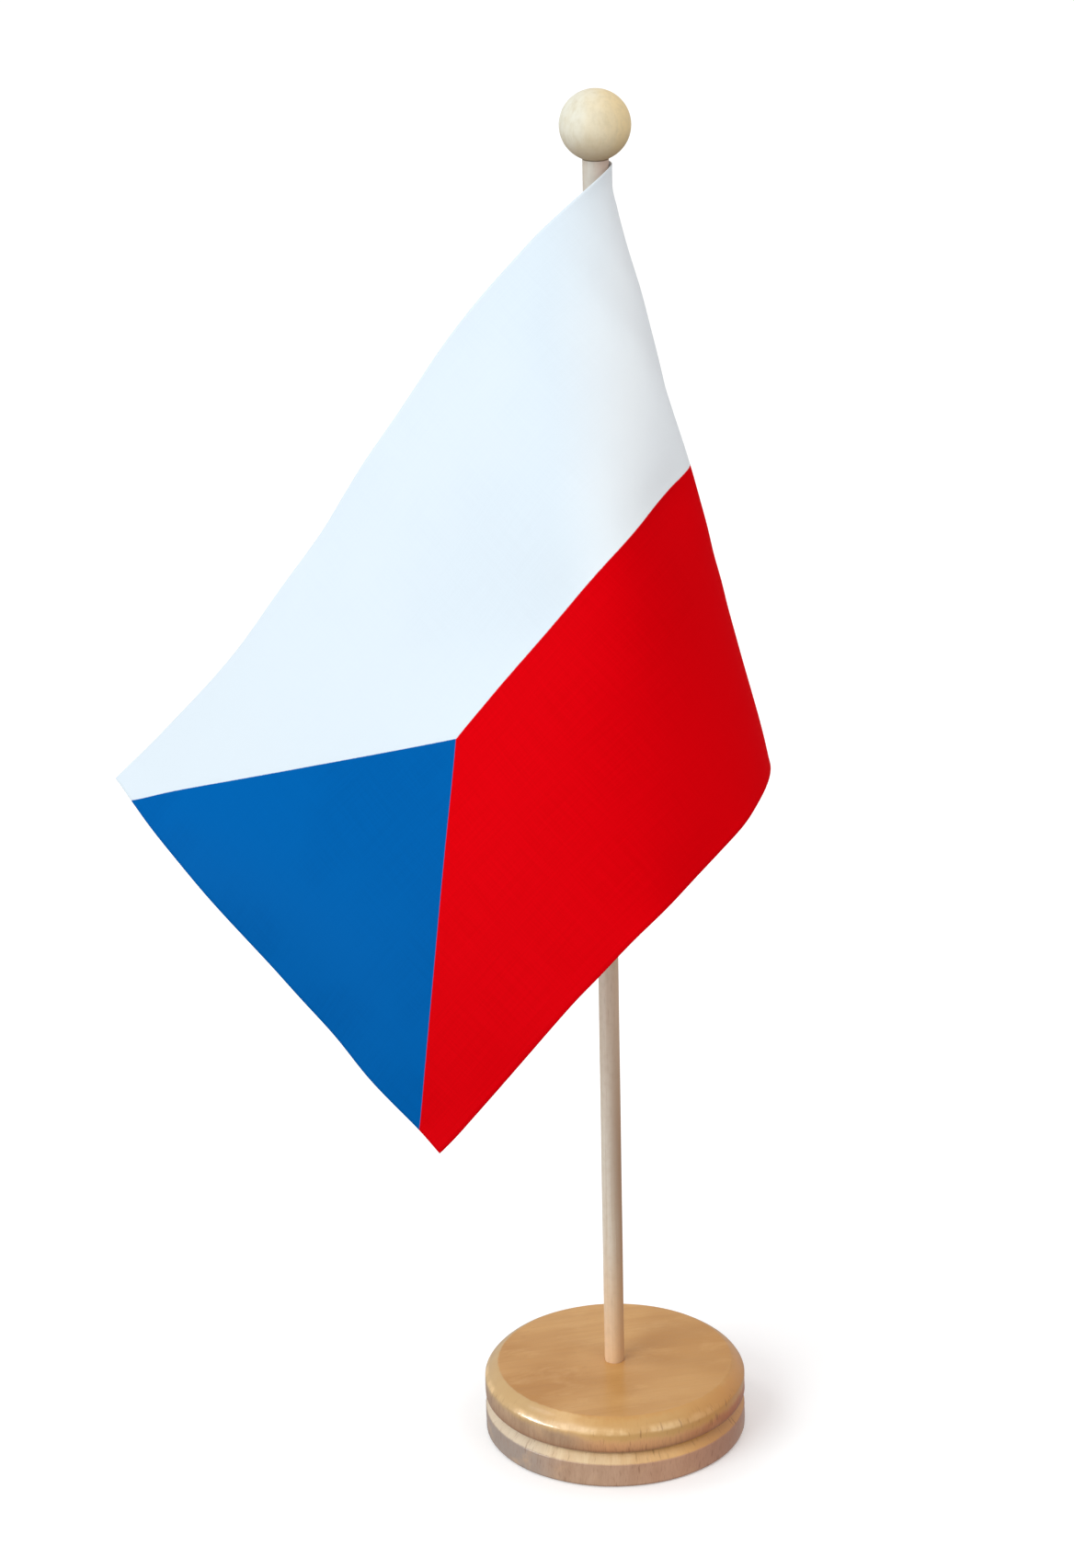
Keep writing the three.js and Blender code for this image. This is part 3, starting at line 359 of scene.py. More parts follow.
def base_wood():
    """Lacquered beech: soft straight grain across the disc, ray flecks on the face, and upright flecks and streaks down the sides, where the end grain drinks the lacquer and looks duller."""
    g = Graph("lacquered_beech")
    p = g.coords()
    x, y, z = g.xyz(p)[:3]
    rad = g.math("SQRT", g.math("ADD", g.math("MULTIPLY", x, x), g.math("MULTIPLY", y, y)))
    turn = g.math("ARCTAN2", y, x)
    along = g.scaled(p, 1, 1, 1, rot=(0, 0, math.radians(-14)))
    fibre = g.noise(g.scaled(along, 34, 900, 900), 1.0, 3.0, 0.6)
    streak = g.noise(g.scaled(along, 12, 110, 110), 1.0, 3.0, 0.55, 0.6)
    mottle = g.noise(g.scaled(along, 70, 130, 130), 1.0, 4.0, 0.62, 0.4)
    cloud = g.noise(g.scaled(p, 22, 30, 30, loc=(0.4, 0.1, 0.0)), 1.0, 2.0, 0.5)
    # face flecks: thin spindles along the fibres
    fl = g.cells(g.scaled(along, 190, 1000, 500), 1.0, 1.0)
    fleck = g.math("MULTIPLY", g.ramp(fl, 0.08, 0.22, 1.0, 0.0), g.ramp(g.noise(g.scaled(along, 60, 90, 90), 1.0, 1.0), 0.45, 0.60))
    # upright flecks round the rim, wavering and uneven
    arc = g.math("MULTIPLY", turn, 0.040)
    wob = g.noise(g.vec(g.math("MULTIPLY", arc, 130.0), g.math("MULTIPLY", z, 300.0), 0.0), 1.0, 2.0)
    arcw = g.math("MULTIPLY_ADD", g.math("SUBTRACT", wob, 0.5), 0.0016, arc)

    def dashes(across, up, seed, lo, hi, patch):
        d = g.cells(g.vec(g.math("MULTIPLY", arcw, across), g.math("MULTIPLY", z, up), seed), 1.0, 1.0)
        keep = g.noise(g.vec(g.math("MULTIPLY", arc, 150.0), g.math("MULTIPLY", z, 110.0), seed * 2.0), 1.0, 1.0)
        return g.math("MULTIPLY", g.ramp(d, lo, hi, 1.0, 0.0), g.ramp(keep, patch, patch + 0.12))

    dash = g.math("MAXIMUM", dashes(620.0, 130.0, 3.1, 0.08, 0.26, 0.34), g.math("MULTIPLY", dashes(1100.0, 260.0, 8.7, 0.08, 0.30, 0.36), 0.6))
    broad = g.noise(g.vec(g.math("MULTIPLY", arcw, 250.0), g.math("MULTIPLY", z, 75.0), 5.0), 1.0, 3.0, 0.55)
    fine = g.noise(g.vec(g.math("MULTIPLY", arcw, 2400.0), g.math("MULTIPLY", z, 260.0), 1.0), 1.0, 3.0, 0.6)
    ragged = g.math("MULTIPLY", g.math("SUBTRACT", g.noise(g.vec(g.math("MULTIPLY", arc, 420.0), g.math("MULTIPLY", rad, 160.0), 2.0), 1.0, 3.0, 0.6), 0.5), 0.0030)
    # painted light and shade by side: greyer on the left where the light falls, darker and redder on the right in
    # shade, another tone across the front; the border between them is wobbled by noise
    side_light_x = g.math("MULTIPLY_ADD", g.math("SUBTRACT", cloud, 0.5), 0.02, x)
    left_on, right_hand, far_right = g.ramp(side_light_x, -0.012, -0.030), g.ramp(side_light_x, -0.012, 0.030), g.ramp(side_light_x, 0.016, 0.038)
    front_on = g.ramp(g.math("MULTIPLY_ADD", g.math("SUBTRACT", cloud, 0.5), 0.02, x), -0.018, 0.002)
    # past the flat face: the border is crisp on one side and looser at the front
    loose = g.ramp(front_on, 0.0, 1.0, 0.30, 1.0)
    rim = g.ramp(g.math("DIVIDE", g.math("SUBTRACT", g.math("MULTIPLY_ADD", ragged, loose, rad), 0.0356), g.math("MULTIPLY", loose, 0.0022)), 0.0, 1.0)
    jag = g.noise(g.vec(g.math("MULTIPLY", arc, 900.0), g.math("MULTIPLY", z, 120.0), 6.0), 1.0, 3.0, 0.65)
    jagged_z = g.math("MULTIPLY_ADD", g.math("SUBTRACT", jag, 0.5), 0.0016, g.math("MULTIPLY_ADD", front_on, 0.0016, g.math("MULTIPLY_ADD", g.math("SUBTRACT", broad, 0.5), 0.003, z)))
    wall = g.math("MULTIPLY", g.ramp(rad, 0.0366, 0.0390), g.ramp(jagged_z, 0.0184, 0.0158))
    low = g.ramp(g.math("MULTIPLY_ADD", g.math("SUBTRACT", jag, 0.5), 0.0009, z), 0.0083, 0.0074)
    floor_ = g.math("MULTIPLY", g.math("MULTIPLY", g.ramp(g.math("MULTIPLY_ADD", g.math("SUBTRACT", jag, 0.5), 0.0008, z), 0.0072, 0.0079), g.ramp(z, 0.0112, 0.0102)), g.ramp(rad, 0.0401, 0.0397))
    top = g.mix(g.ramp(cloud, 0.38, 0.62), TOP_A, TOP_B)
    top = g.mix(g.ramp(streak, 0.35, 0.75, 0.0, 0.38), top, TOP_C)
    top = g.mix(g.ramp(mottle, 0.48, 0.72, 0.0, 0.42), top, TOP_D)
    top = g.mix(g.ramp(fibre, 0.40, 0.85, 0.0, 0.15), top, rgb(150, 98, 50))
    top = g.mix(g.math("MULTIPLY", fleck, 0.22), top, rgb(150, 96, 50))
    # painted light and shade by side, on the top here and on the edge, band, foot and ledge below
    top = g.mix(g.math("MULTIPLY", right_hand, 0.38), top, rgb(196, 144, 78))
    edge = g.mix(g.ramp(mottle, 0.3, 0.75), EDGE_A, EDGE_B)
    edge = g.mix(g.ramp(broad, 0.45, 0.70, 0.0, 0.42), edge, EDGE_C)
    edge = g.mix(g.math("MULTIPLY", front_on, 0.80), edge, EDGE_FRONT)
    edge = g.mix(g.math("MULTIPLY", left_on, 0.80), edge, EDGE_LEFT)
    edge = g.mix(g.math("MULTIPLY", far_right, 0.88), edge, EDGE_RIGHT)
    # painted highlight: the shoulder is paler along its arris, in patches
    painted_arris_highlight = g.math("MULTIPLY", g.ramp(g.math("MULTIPLY_ADD", g.math("SUBTRACT", jag, 0.5), 0.0008, z), 0.0172, 0.0182), g.ramp(z, 0.0202, 0.0189))
    edge = g.mix(g.math("MULTIPLY", painted_arris_highlight, g.ramp(g.math("ADD", g.math("MULTIPLY", broad, 0.6), g.math("MULTIPLY", mottle, 0.4)), 0.40, 0.60, 0.05, 0.72)), edge, g.mix(far_right, EDGE_ARRIS_HIGHLIGHT, EDGE_RIGHT))
    band = g.mix(g.ramp(broad, 0.3, 0.7), BAND_A, BAND_B)
    foot = g.mix(g.ramp(broad, 0.3, 0.7), FOOT_A, FOOT_B)
    band = g.mix(g.math("MULTIPLY", front_on, 0.85), band, BAND_C)
    band = g.mix(g.math("MULTIPLY", far_right, 0.80), band, BAND_D)
    foot = g.mix(g.math("MULTIPLY", left_on, 0.85), foot, FOOT_LEFT)
    foot = g.mix(g.math("MULTIPLY", right_hand, 0.60), foot, FOOT_C)
    foot = g.mix(g.math("MULTIPLY", far_right, 0.75), foot, FOOT_RIGHT)
    side = g.mix(low, band, foot)
    side = g.mix(g.ramp(fine, 0.40, 0.80, 0.0, 0.34), side, rgb(150, 108, 80))
    side = g.mix(g.ramp(mottle, 0.50, 0.78, 0.0, 0.40), side, rgb(214, 172, 128))
    # painted shade: darker towards the foot of the upper band, where it rolls in over the groove, most of all at the
    # front
    painted_band_foot_shade = g.math("MULTIPLY", g.ramp(jagged_z, 0.0176, 0.0112, smooth=False), g.ramp(front_on, 0.0, 1.0, 0.46, 0.74))
    side = g.mix(g.math("MULTIPLY", painted_band_foot_shade, g.math("SUBTRACT", 1.0, low)), side, g.mix(far_right, rgb(121, 67, 39), rgb(142, 65, 30)))
    ledge = g.mix(g.ramp(broad, 0.3, 0.72), LEDGE_A, LEDGE_B)
    ledge = g.mix(g.math("MULTIPLY", left_on, 0.80), ledge, LEDGE_LEFT)
    ledge = g.mix(g.math("MULTIPLY", right_hand, 0.90), ledge, LEDGE_C)
    ledge = g.mix(g.math("MULTIPLY", far_right, 0.60), ledge, LEDGE_RIGHT)
    ledge = g.mix(g.ramp(fine, 0.40, 0.85, 0.0, 0.25), ledge, rgb(176, 132, 84))
    colour = g.mix(rim, top, edge)
    colour = g.mix(wall, colour, side)
    colour = g.mix(floor_, colour, ledge)
    fleck_on = g.math("MULTIPLY", dash, g.math("MULTIPLY", rim, g.ramp(z, 0.0212, 0.0190, 0.08, 0.42)))
    # painted shade: a dark line at the foot of the upper band above the groove, and along the bottom edge
    lips = g.math("MAXIMUM", g.math("MULTIPLY", g.ramp(z, 0.0110, 0.0116), g.ramp(z, 0.0136, 0.0120)), g.math("MULTIPLY", g.ramp(z, 0.0004, 0.0010, 1.0, 0.0), 0.6))
    colour = g.mix(g.math("MULTIPLY", lips, g.ramp(fine, 0.2, 0.8, 0.15, 0.60)), colour, rgb(140, 96, 66))
    colour = g.mix(fleck_on, colour, rgb(120, 76, 48))
    # painted shade in the bottom of the groove
    painted_groove_shade = g.math("MULTIPLY", g.ramp(rad, 0.0384, 0.0373), g.math("MULTIPLY", g.ramp(z, 0.0098, 0.0106), g.ramp(z, 0.0122, 0.0117)))
    colour = g.mix(g.math("MULTIPLY", painted_groove_shade, 0.55), colour, rgb(98, 60, 36))
    rough = g.math("ADD", g.ramp(wall, 0.0, 1.0, 0.30, 0.50), g.math("MULTIPLY", streak, 0.10))
    n1 = g.bump(fibre, 0.00005, 0.4)
    n2 = g.bump(g.math("MULTIPLY", fleck_on, -1.0), 0.00010, 0.6, over=n1)
    n3 = g.bump(g.noise(p, 150.0, 3.0, 0.6), 0.00026, 0.55, over=n2)
    g.put(g.bsdf, "Coat Normal", n3)
    g.put(g.bsdf, "Coat Weight", g.ramp(rad, 0.0345, 0.0380, 0.30, 0.50))
    return g.surface(colour, rough, n3, Coat_Roughness=0.20, Specular_IOR_Level=0.15)


def raw_wood(name, light, mid, dark, fibre_scale=(1500.0, 1500.0, 30.0), pores=0.35, rough=0.68, warm=None, painted_light_tints=(), sanding=0.16):
    """Unfinished turned wood with upright fibres: fine dark pores, soft streaks and a sanded, slightly fuzzy surface."""
    g = Graph(name)
    p = g.coords()
    fx, fy, fz = fibre_scale
    fibre = g.noise(g.scaled(p, fx, fy, fz), 1.0, 3.0, 0.62)
    streak = g.noise(g.scaled(p, fx * 0.25, fy * 0.25, fz * 0.4), 1.0, 2.0, 0.5, 0.4)
    patch = g.noise(g.scaled(p, 90, 90, 22), 1.0, 2.0)
    pore = g.ramp(g.cells(g.scaled(p, fx * 0.8, fy * 0.8, fz * 4.5), 1.0, 1.0), 0.08, 0.24, 1.0, 0.0)
    c = g.mix(g.ramp(streak, 0.3, 0.72), light, mid)
    c = g.mix(g.ramp(fibre, 0.42, 0.85, 0.0, 0.55), c, dark)
    c = g.mix(g.ramp(patch, 0.35, 0.70, 0.0, 0.35), c, warm or light)
    for tint, axis, lo, hi, amount in painted_light_tints:  # painted light and shade: the colour is tinted along one axis to copy how the light falls across the piece
        at = g.math("MULTIPLY_ADD", g.math("SUBTRACT", patch, 0.5), (hi - lo) * 0.6, g.xyz(p)[axis])
        c = g.mix(g.ramp(at, lo, hi, 0.0, amount), c, tint)
    c = g.mix(g.math("MULTIPLY", pore, pores), c, dark)
    sanded = g.noise(g.scaled(p, 620, 620, 420), 1.0, 3.0, 0.6)
    c = g.mix(g.ramp(sanded, 0.40, 0.72, 0.0, sanding), c, dark)
    r = g.math("ADD", g.math("MULTIPLY", fibre, 0.12), rough - 0.06)
    n1 = g.bump(fibre, 0.00005, 0.6)
    n2 = g.bump(g.math("MULTIPLY", pore, -1.0), 0.00006, 0.5, over=n1)
    return g.surface(c, r, n2, Specular_IOR_Level=0.2)


# ------------------------------------------------------------------ cloth


def printed_cloth(name, use_uv=True):
    """Fine plain-woven polyester with a crisp print: white over red, and a blue triangle standing on the fly edge. Flat coordinates are in mm: s from the hoist, t from the top edge."""
    g = Graph(name)
    uv = g.uv("flat")
    s0, t0 = g.xyz(uv)[:2]
    s, t = g.math("MULTIPLY", s0, 1000.0), g.math("MULTIPLY", t0, 1000.0)
    # the ink follows single threads, so its edge is very slightly ragged
    rag = g.noise(g.vec(g.math("MULTIPLY", s, 2.4), g.math("MULTIPLY", t, 2.4), 0.0), 1.0, 1.0)
    tr = g.math("ADD", t, g.math("MULTIPLY", g.math("SUBTRACT", rag, 0.5), 0.25))
    soft = 0.16

    def above(value, limit):
        return g.ramp(g.math("SUBTRACT", value, limit), -soft, soft)

    def poly(x, coefficients):
        """A polynomial, highest power first."""
        acc = coefficients[0]
        for c in coefficients[1:]:
            acc = g.math("MULTIPLY_ADD", x, acc, c)
        return acc

    x = g.math("MULTIPLY", g.math("SUBTRACT", g.math("MAXIMUM", g.math("MINIMUM", s, LINE_TO), LINE_FROM), 100.0), 1.0 / 60.0)
    line = poly(x, LINE_T)
    d = g.math("SUBTRACT", s, APEX_S)
    upper = poly(d, UPPER_SIDE + [APEX_T])
    lower = poly(d, LOWER_SIDE + [APEX_T])
    red_mask = above(tr, line)
    blue_mask = g.math("MULTIPLY", g.math("MULTIPLY", above(tr, upper), above(lower, tr)), g.ramp(d, -0.1, 0.1))
    # yarn-level tone and a slow cloudiness of the dye
    warp = g.math("SINE", g.math("MULTIPLY", s, 2 * math.pi / PITCH_MM))
    weft = g.math("SINE", g.math("MULTIPLY", t, 2 * math.pi / PITCH_MM))
    slub_s = g.noise(g.vec(g.math("MULTIPLY", s, 1.9), g.math("MULTIPLY", t, 0.045), 0.0), 1.0, 2.0)
    slub_t = g.noise(g.vec(g.math("MULTIPLY", s, 0.045), g.math("MULTIPLY", t, 1.9), 4.0), 1.0, 2.0)
    cloud = g.noise(g.vec(g.math("MULTIPLY", s, 0.03), g.math("MULTIPLY", t, 0.03), 9.0), 1.0, 2.0)
    yarn = g.math("MULTIPLY", g.math("ADD", slub_s, slub_t), 0.5)
    white = g.mix(g.ramp(yarn, 0.35, 0.65), WHITE_A, WHITE_B)
    white = g.mix(g.ramp(cloud, 0.35, 0.65, 0.0, 0.5), white, WHITE_C)
    # painted light: the white and the red are made brighter towards the hoist side of the sheet, where it turns away
    # from the light
    slant = g.math("MULTIPLY_ADD", t, -0.9, g.math("MULTIPLY_ADD", cloud, 12.0, s))
    white = g.mix(g.ramp(slant, 8.0, 44.0, 0.95, 0.0), white, WHITE_PAINTED_LIGHT)
    white = g.mix(g.ramp(s, 90.0, 225.0), white, WHITE_E)
    red = g.mix(g.ramp(yarn, 0.35, 0.65), RED_A, RED_B)
    red = g.mix(g.ramp(slant, -40.0, 30.0, 0.9, 0.0), red, RED_PAINTED_LIGHT)
    blue = g.mix(g.ramp(yarn, 0.35, 0.65), BLUE_A, BLUE_B)
    blue = g.mix(g.ramp(cloud, 0.4, 0.6, 0.0, 0.6), blue, BLUE_C)
    colour = g.mix(red_mask, white, red)
    colour = g.mix(blue_mask, colour, blue)
    over = g.math("MULTIPLY", warp, weft)  # which yarn is on top
    dips = g.math("MULTIPLY", g.math("ADD", g.math("ABSOLUTE", warp), g.math("ABSOLUTE", weft)), 0.5)
    height = g.math("ADD", g.math("MULTIPLY", dips, 0.7), g.math("MULTIPLY", over, 0.3))
    # painted shade: the hollows between the yarns are a little darker
    colour = g.mix(g.ramp(dips, 0.0, 0.35, 0.07, 0.0), colour, (0.0, 0.0, 0.0, 1.0))
    n1 = g.bump(height, 0.00003, 0.34)
    n2 = g.bump(yarn, 0.00005, 0.14, over=n1)
    crump = g.noise(g.vec(g.math("MULTIPLY", s, 0.16), g.math("MULTIPLY", t, 0.16), 2.0), 1.0, 3.0, 0.55)
    n3 = g.bump(crump, 0.0004, 0.18, over=n2)
    rough = g.math("MULTIPLY_ADD", yarn, 0.10, 0.58)
    g.surface(colour, rough, n3, Specular_IOR_Level=0.006)
    # a thin sheet lets some light through
    tl = g.node("ShaderNodeBsdfTranslucent")
    g.put(tl, "Color", colour)
    g.put(tl, "Normal", n3)
    mx = g.node("ShaderNodeMixShader")
    mx.inputs[0].default_value = 0.14
    out = g.t.nodes["Material Output"]
    g.t.links.new(g.bsdf.outputs[0], mx.inputs[1])
    g.t.links.new(tl.outputs[0], mx.inputs[2])
    g.t.links.new(mx.outputs[0], out.inputs["Surface"])
    return g.mat


def thread_material(name, a, b):
    g = Graph(name)
    p = g.coords()
    x, y, z = g.xyz(p)[:3]
    ply = g.math("SINE", g.math("MULTIPLY", g.math("ADD", z, g.math("MULTIPLY", x, 0.8)), 9000.0))
    c = g.mix(g.ramp(ply, -1, 1), a, b)
    n = g.bump(ply, 0.00004, 0.7)
    return g.surface(c, g.ramp(ply, -1, 1, 0.42, 0.55), n, Specular_IOR_Level=0.35)


TOP_A, TOP_B, TOP_C, TOP_D = rgb(185, 132, 70), rgb(204, 155, 95), rgb(175, 122, 64), rgb(212, 166, 108)
EDGE_A, EDGE_B, EDGE_C = rgb(206, 162, 108), rgb(218, 180, 128), rgb(186, 140, 88)
# painted light and shade by side: the LEFT, RIGHT and FRONT colours here and on the lines below, and BAND_C, BAND_D,
# FOOT_C and LEDGE_C
EDGE_LEFT, EDGE_RIGHT = rgb(186, 154, 106), rgb(198, 137, 69)
# the second colour on the next line is a painted highlight along the shoulder's arris
EDGE_FRONT, EDGE_ARRIS_HIGHLIGHT = rgb(199, 154, 94), rgb(236, 200, 148)
BAND_A, BAND_B, BAND_C, BAND_D = rgb(184, 154, 122), rgb(160, 130, 102), rgb(226, 166, 112), rgb(180, 99, 58)
FOOT_A, FOOT_B, FOOT_C = rgb(188, 154, 128), rgb(174, 140, 114), rgb(207, 149, 118)
FOOT_LEFT, FOOT_RIGHT = rgb(150, 138, 130), rgb(169, 122, 101)
LEDGE_A, LEDGE_B, LEDGE_C = rgb(227, 201, 161), rgb(213, 181, 140), rgb(226, 170, 98)
LEDGE_LEFT, LEDGE_RIGHT = rgb(208, 193, 171), rgb(178, 118, 72)
PITCH_MM = 0.42  # yarn spacing
# the printed edges in the flat cloth: printed cloth stretches a little, so they bow slightly
LINE_FROM, LINE_TO = 49.0, 153.9
LINE_T = [-0.0494, 5.8443, -0.0265, -5.0871, 1.0916, 80.4599]
APEX_S, APEX_T = 153.93, 81.02
UPPER_SIDE = [-2.85532529e-05, 2.15307159e-03, -7.73104849e-01]
LOWER_SIDE = [1.48147372e-05, -5.27492425e-03, 1.15832923]
WHITE_A, WHITE_B, WHITE_C = rgb(225, 236, 245), rgb(223, 234, 243), rgb(227, 237, 245)
WHITE_PAINTED_LIGHT, WHITE_E = rgb(248, 252, 255), rgb(218, 228, 236)
RED_A, RED_B, RED_PAINTED_LIGHT = rgb(220, 0, 12), rgb(213, 0, 9), rgb(232, 0, 12)
BLUE_A, BLUE_B, BLUE_C = rgb(0, 95, 171), rgb(0, 92, 166), rgb(0, 97, 173)

# ------------------------------------------------------------------ floor
# a level floor that sweeps up into a plain wall well away from the stand
sweep = [(0.0, 0.0), (1.0, 0.0), (2.2, 0.0), (3.2, 0.0)]
sweep += [(3.2 + 1.6 * math.sin(a), 1.6 - 1.6 * math.cos(a)) for a in np.linspace(0, math.pi / 2, 13)[1:]]
sweep += [(4.8, 3.0), (4.8, 5.0)]
turns = 96
fv = [(0.0, 0.0, 0.0)] + [(r * math.cos(2 * math.pi * k / turns), r * math.sin(2 * math.pi * k / turns), h) for r, h in sweep[1:] for k in range(turns)]
ff = [(0, 1 + k, 1 + (k + 1) % turns) for k in range(turns)]
for ring in range(len(sweep) - 2):
    a0, b0 = 1 + ring * turns, 1 + (ring + 1) * turns
    ff += [(a0 + k, b0 + k, b0 + (k + 1) % turns, a0 + (k + 1) % turns) for k in range(turns)]
floor = add_mesh("floor", fv, ff)
floor.location.z = -0.0002
fg = Graph("pale_floor")
floor.data.materials.append(fg.surface((1.0, 1.0, 1.0, 1.0), 0.95, Specular_IOR_Level=0.0, Emission_Color=(1.0, 1.0, 1.0, 1.0), Emission_Strength=0.10))
floor.visible_shadow = False
floor.visible_diffuse = False
floor.visible_glossy = False

# ------------------------------------------------------------------ base
BASE = [
    (0, 0), (40.0, 0.0, 0.9), (40.0, 7.45, 0.28),
    (37.15, 10.35, 0.25), (37.1, 11.25, 0.3), (40.0, 11.48, 1.2),
    (40.0, 18.0, 1.6),
]
# the bevel is slightly domed: an arc that stands 0.5 mm proud of a straight one
dome_r, dome_c = 8.25, (32.52, 14.52)
for k in range(1, 8):
    t = math.radians(24.95 + 40.1 * k / 8)
    BASE.append((dome_c[0] + dome_r * math.cos(t), dome_c[1] + dome_r * math.sin(t)))
BASE += [(36.0, 22.0, 1.2), (3.06, 22.0, 0.12), (3.06, 7.0, 0.1), (0, 7.0)]
base_profile = split_long(rounded(BASE, 8), 1.6)


def base_shape(r, z, a):
    """Turned by hand: the walls run true to within a tenth of a millimetre, and the lips of the groove are slightly torn across the grain."""
    k = np.clip((r - 20) / 20, 0, 1)
    r = r + k * (0.05 * np.sin(3 * a + 0.7 * z) + 0.03 * np.sin(11 * a + 2.1))
    lip = np.exp(-(((z - 7.5) / 0.5) ** 2)) + np.exp(-(((z - 11.5) / 0.4) ** 2))
    torn = np.sin(61 * a + 3 * np.sin(5 * a)) + 0.7 * np.sin(97 * a + 1.1 + 4 * np.sin(3 * a))
    return r + 0.035 * lip * torn * k, z


base = turned("base", base_profile, 240, base_shape)
base.data.materials.append(base_wood())
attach(base, "base")
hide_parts("base_disc")

# ------------------------------------------------------------------ pole
lo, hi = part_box("pole_dowel")
z0, z1 = lo.z / MM, hi.z / MM
dowel_profile = split_long(rounded([(0, z0), (3.0, z0, 0.5), (3.0, z1, 0.5), (0, z1)], 5), 5.0)


def dowel_shape(r, z, a):
    k = np.clip(r / 3.0, 0, 1)
    return r + k * (0.025 * np.sin(2 * a + z * 0.021) + 0.012 * np.sin(5 * a + z * 0.13)), z


dowel = turned("pole", dowel_profile, 72, dowel_shape)
# painted light and shade: darker and browner on the +x side, golden towards the foot as a painted reflection of the
# base, and paler higher up where the flag's shadow falls
dowel.data.materials.append(raw_wood("dowel_wood", rgb(218, 208, 193), rgb(206, 191, 171), rgb(178, 151, 124), (1400, 1400, 26), 0.24, 0.60, rgb(219, 211, 197), [(rgb(160, 124, 98), 0, -0.0020, 0.0032, 0.70), (rgb(220, 176, 128), 2, 0.080, 0.018, 0.80), (rgb(172, 122, 78), 0, 0.0002, 0.0036, 0.42), (rgb(236, 216, 190), 2, 0.090, 0.150, 0.42)]))
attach(dowel, "pole")
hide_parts("pole_dowel")

lo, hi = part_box("pole_collar")
c0, c1 = lo.z / MM, hi.z / MM + 0.35
collar_profile = split_long(rounded([(3.14, c0 + 4), (3.14, c0, 0.15), (3.7, c0, 0.3), (3.7, c1, 0.10), (3.14, c1, 0.08), (3.14, c0 + 4)], 4), 3.0)[:-1]
collar = turned("collar", collar_profile, 72, lambda r, z, a: (r + 0.015 * np.sin(3 * a + z * 0.2), z))
# painted shade: darker and warmer on the +x side
collar.data.materials.append(raw_wood("collar_wood", rgb(199, 195, 186), rgb(194, 183, 168), rgb(172, 150, 134), (1300, 1300, 40), 0.15, 0.66, None, [(rgb(206, 176, 158), 0, -0.002, 0.003, 0.7)]))
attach(collar, "pole")
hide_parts("pole_collar")

# ------------------------------------------------------------------ finial
BALL_Z, BALL_R, BORE_R = 406.0, 10.0, 3.15
a0 = -math.acos(BORE_R / BALL_R)
ball_profile = [(0, 407.0), (1.5, 407.0), (BORE_R, 407.0), (BORE_R, 404.0), (BORE_R, 400.0), (BORE_R, 397.2), (BORE_R + 0.05, BALL_Z + BALL_R * math.sin(a0) + 0.25), (BORE_R + 0.22, BALL_Z + BALL_R * math.sin(a0) + 0.02)]
a0 += 0.045
for k in range(64 + 1):
    t = a0 + (math.pi / 2 - a0) * k / 64
    ball_profile.append((BALL_R * math.cos(t) if k < 64 else 0.0, BALL_Z + BALL_R * math.sin(t)))
ball = turned("ball", ball_profile, 128, lambda r, z, a: (r * (1 + 0.002 * np.sin(2 * a + 0.4)), z))
# painted light and shade: paler and yellower on the +x side, darker towards the bottom
ball.data.materials.append(raw_wood("ball_wood", rgb(220, 219, 207), rgb(216, 211, 193), rgb(192, 180, 148), (520, 520, 120), 0.06, 0.60, rgb(224, 225, 213), [(rgb(240, 214, 162), 0, -0.0085, 0.0095, 0.95), (rgb(172, 144, 107), 2, 0.4078, 0.3950, 0.82)], 0.24))
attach(ball, "finial")
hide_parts("finial_ball")

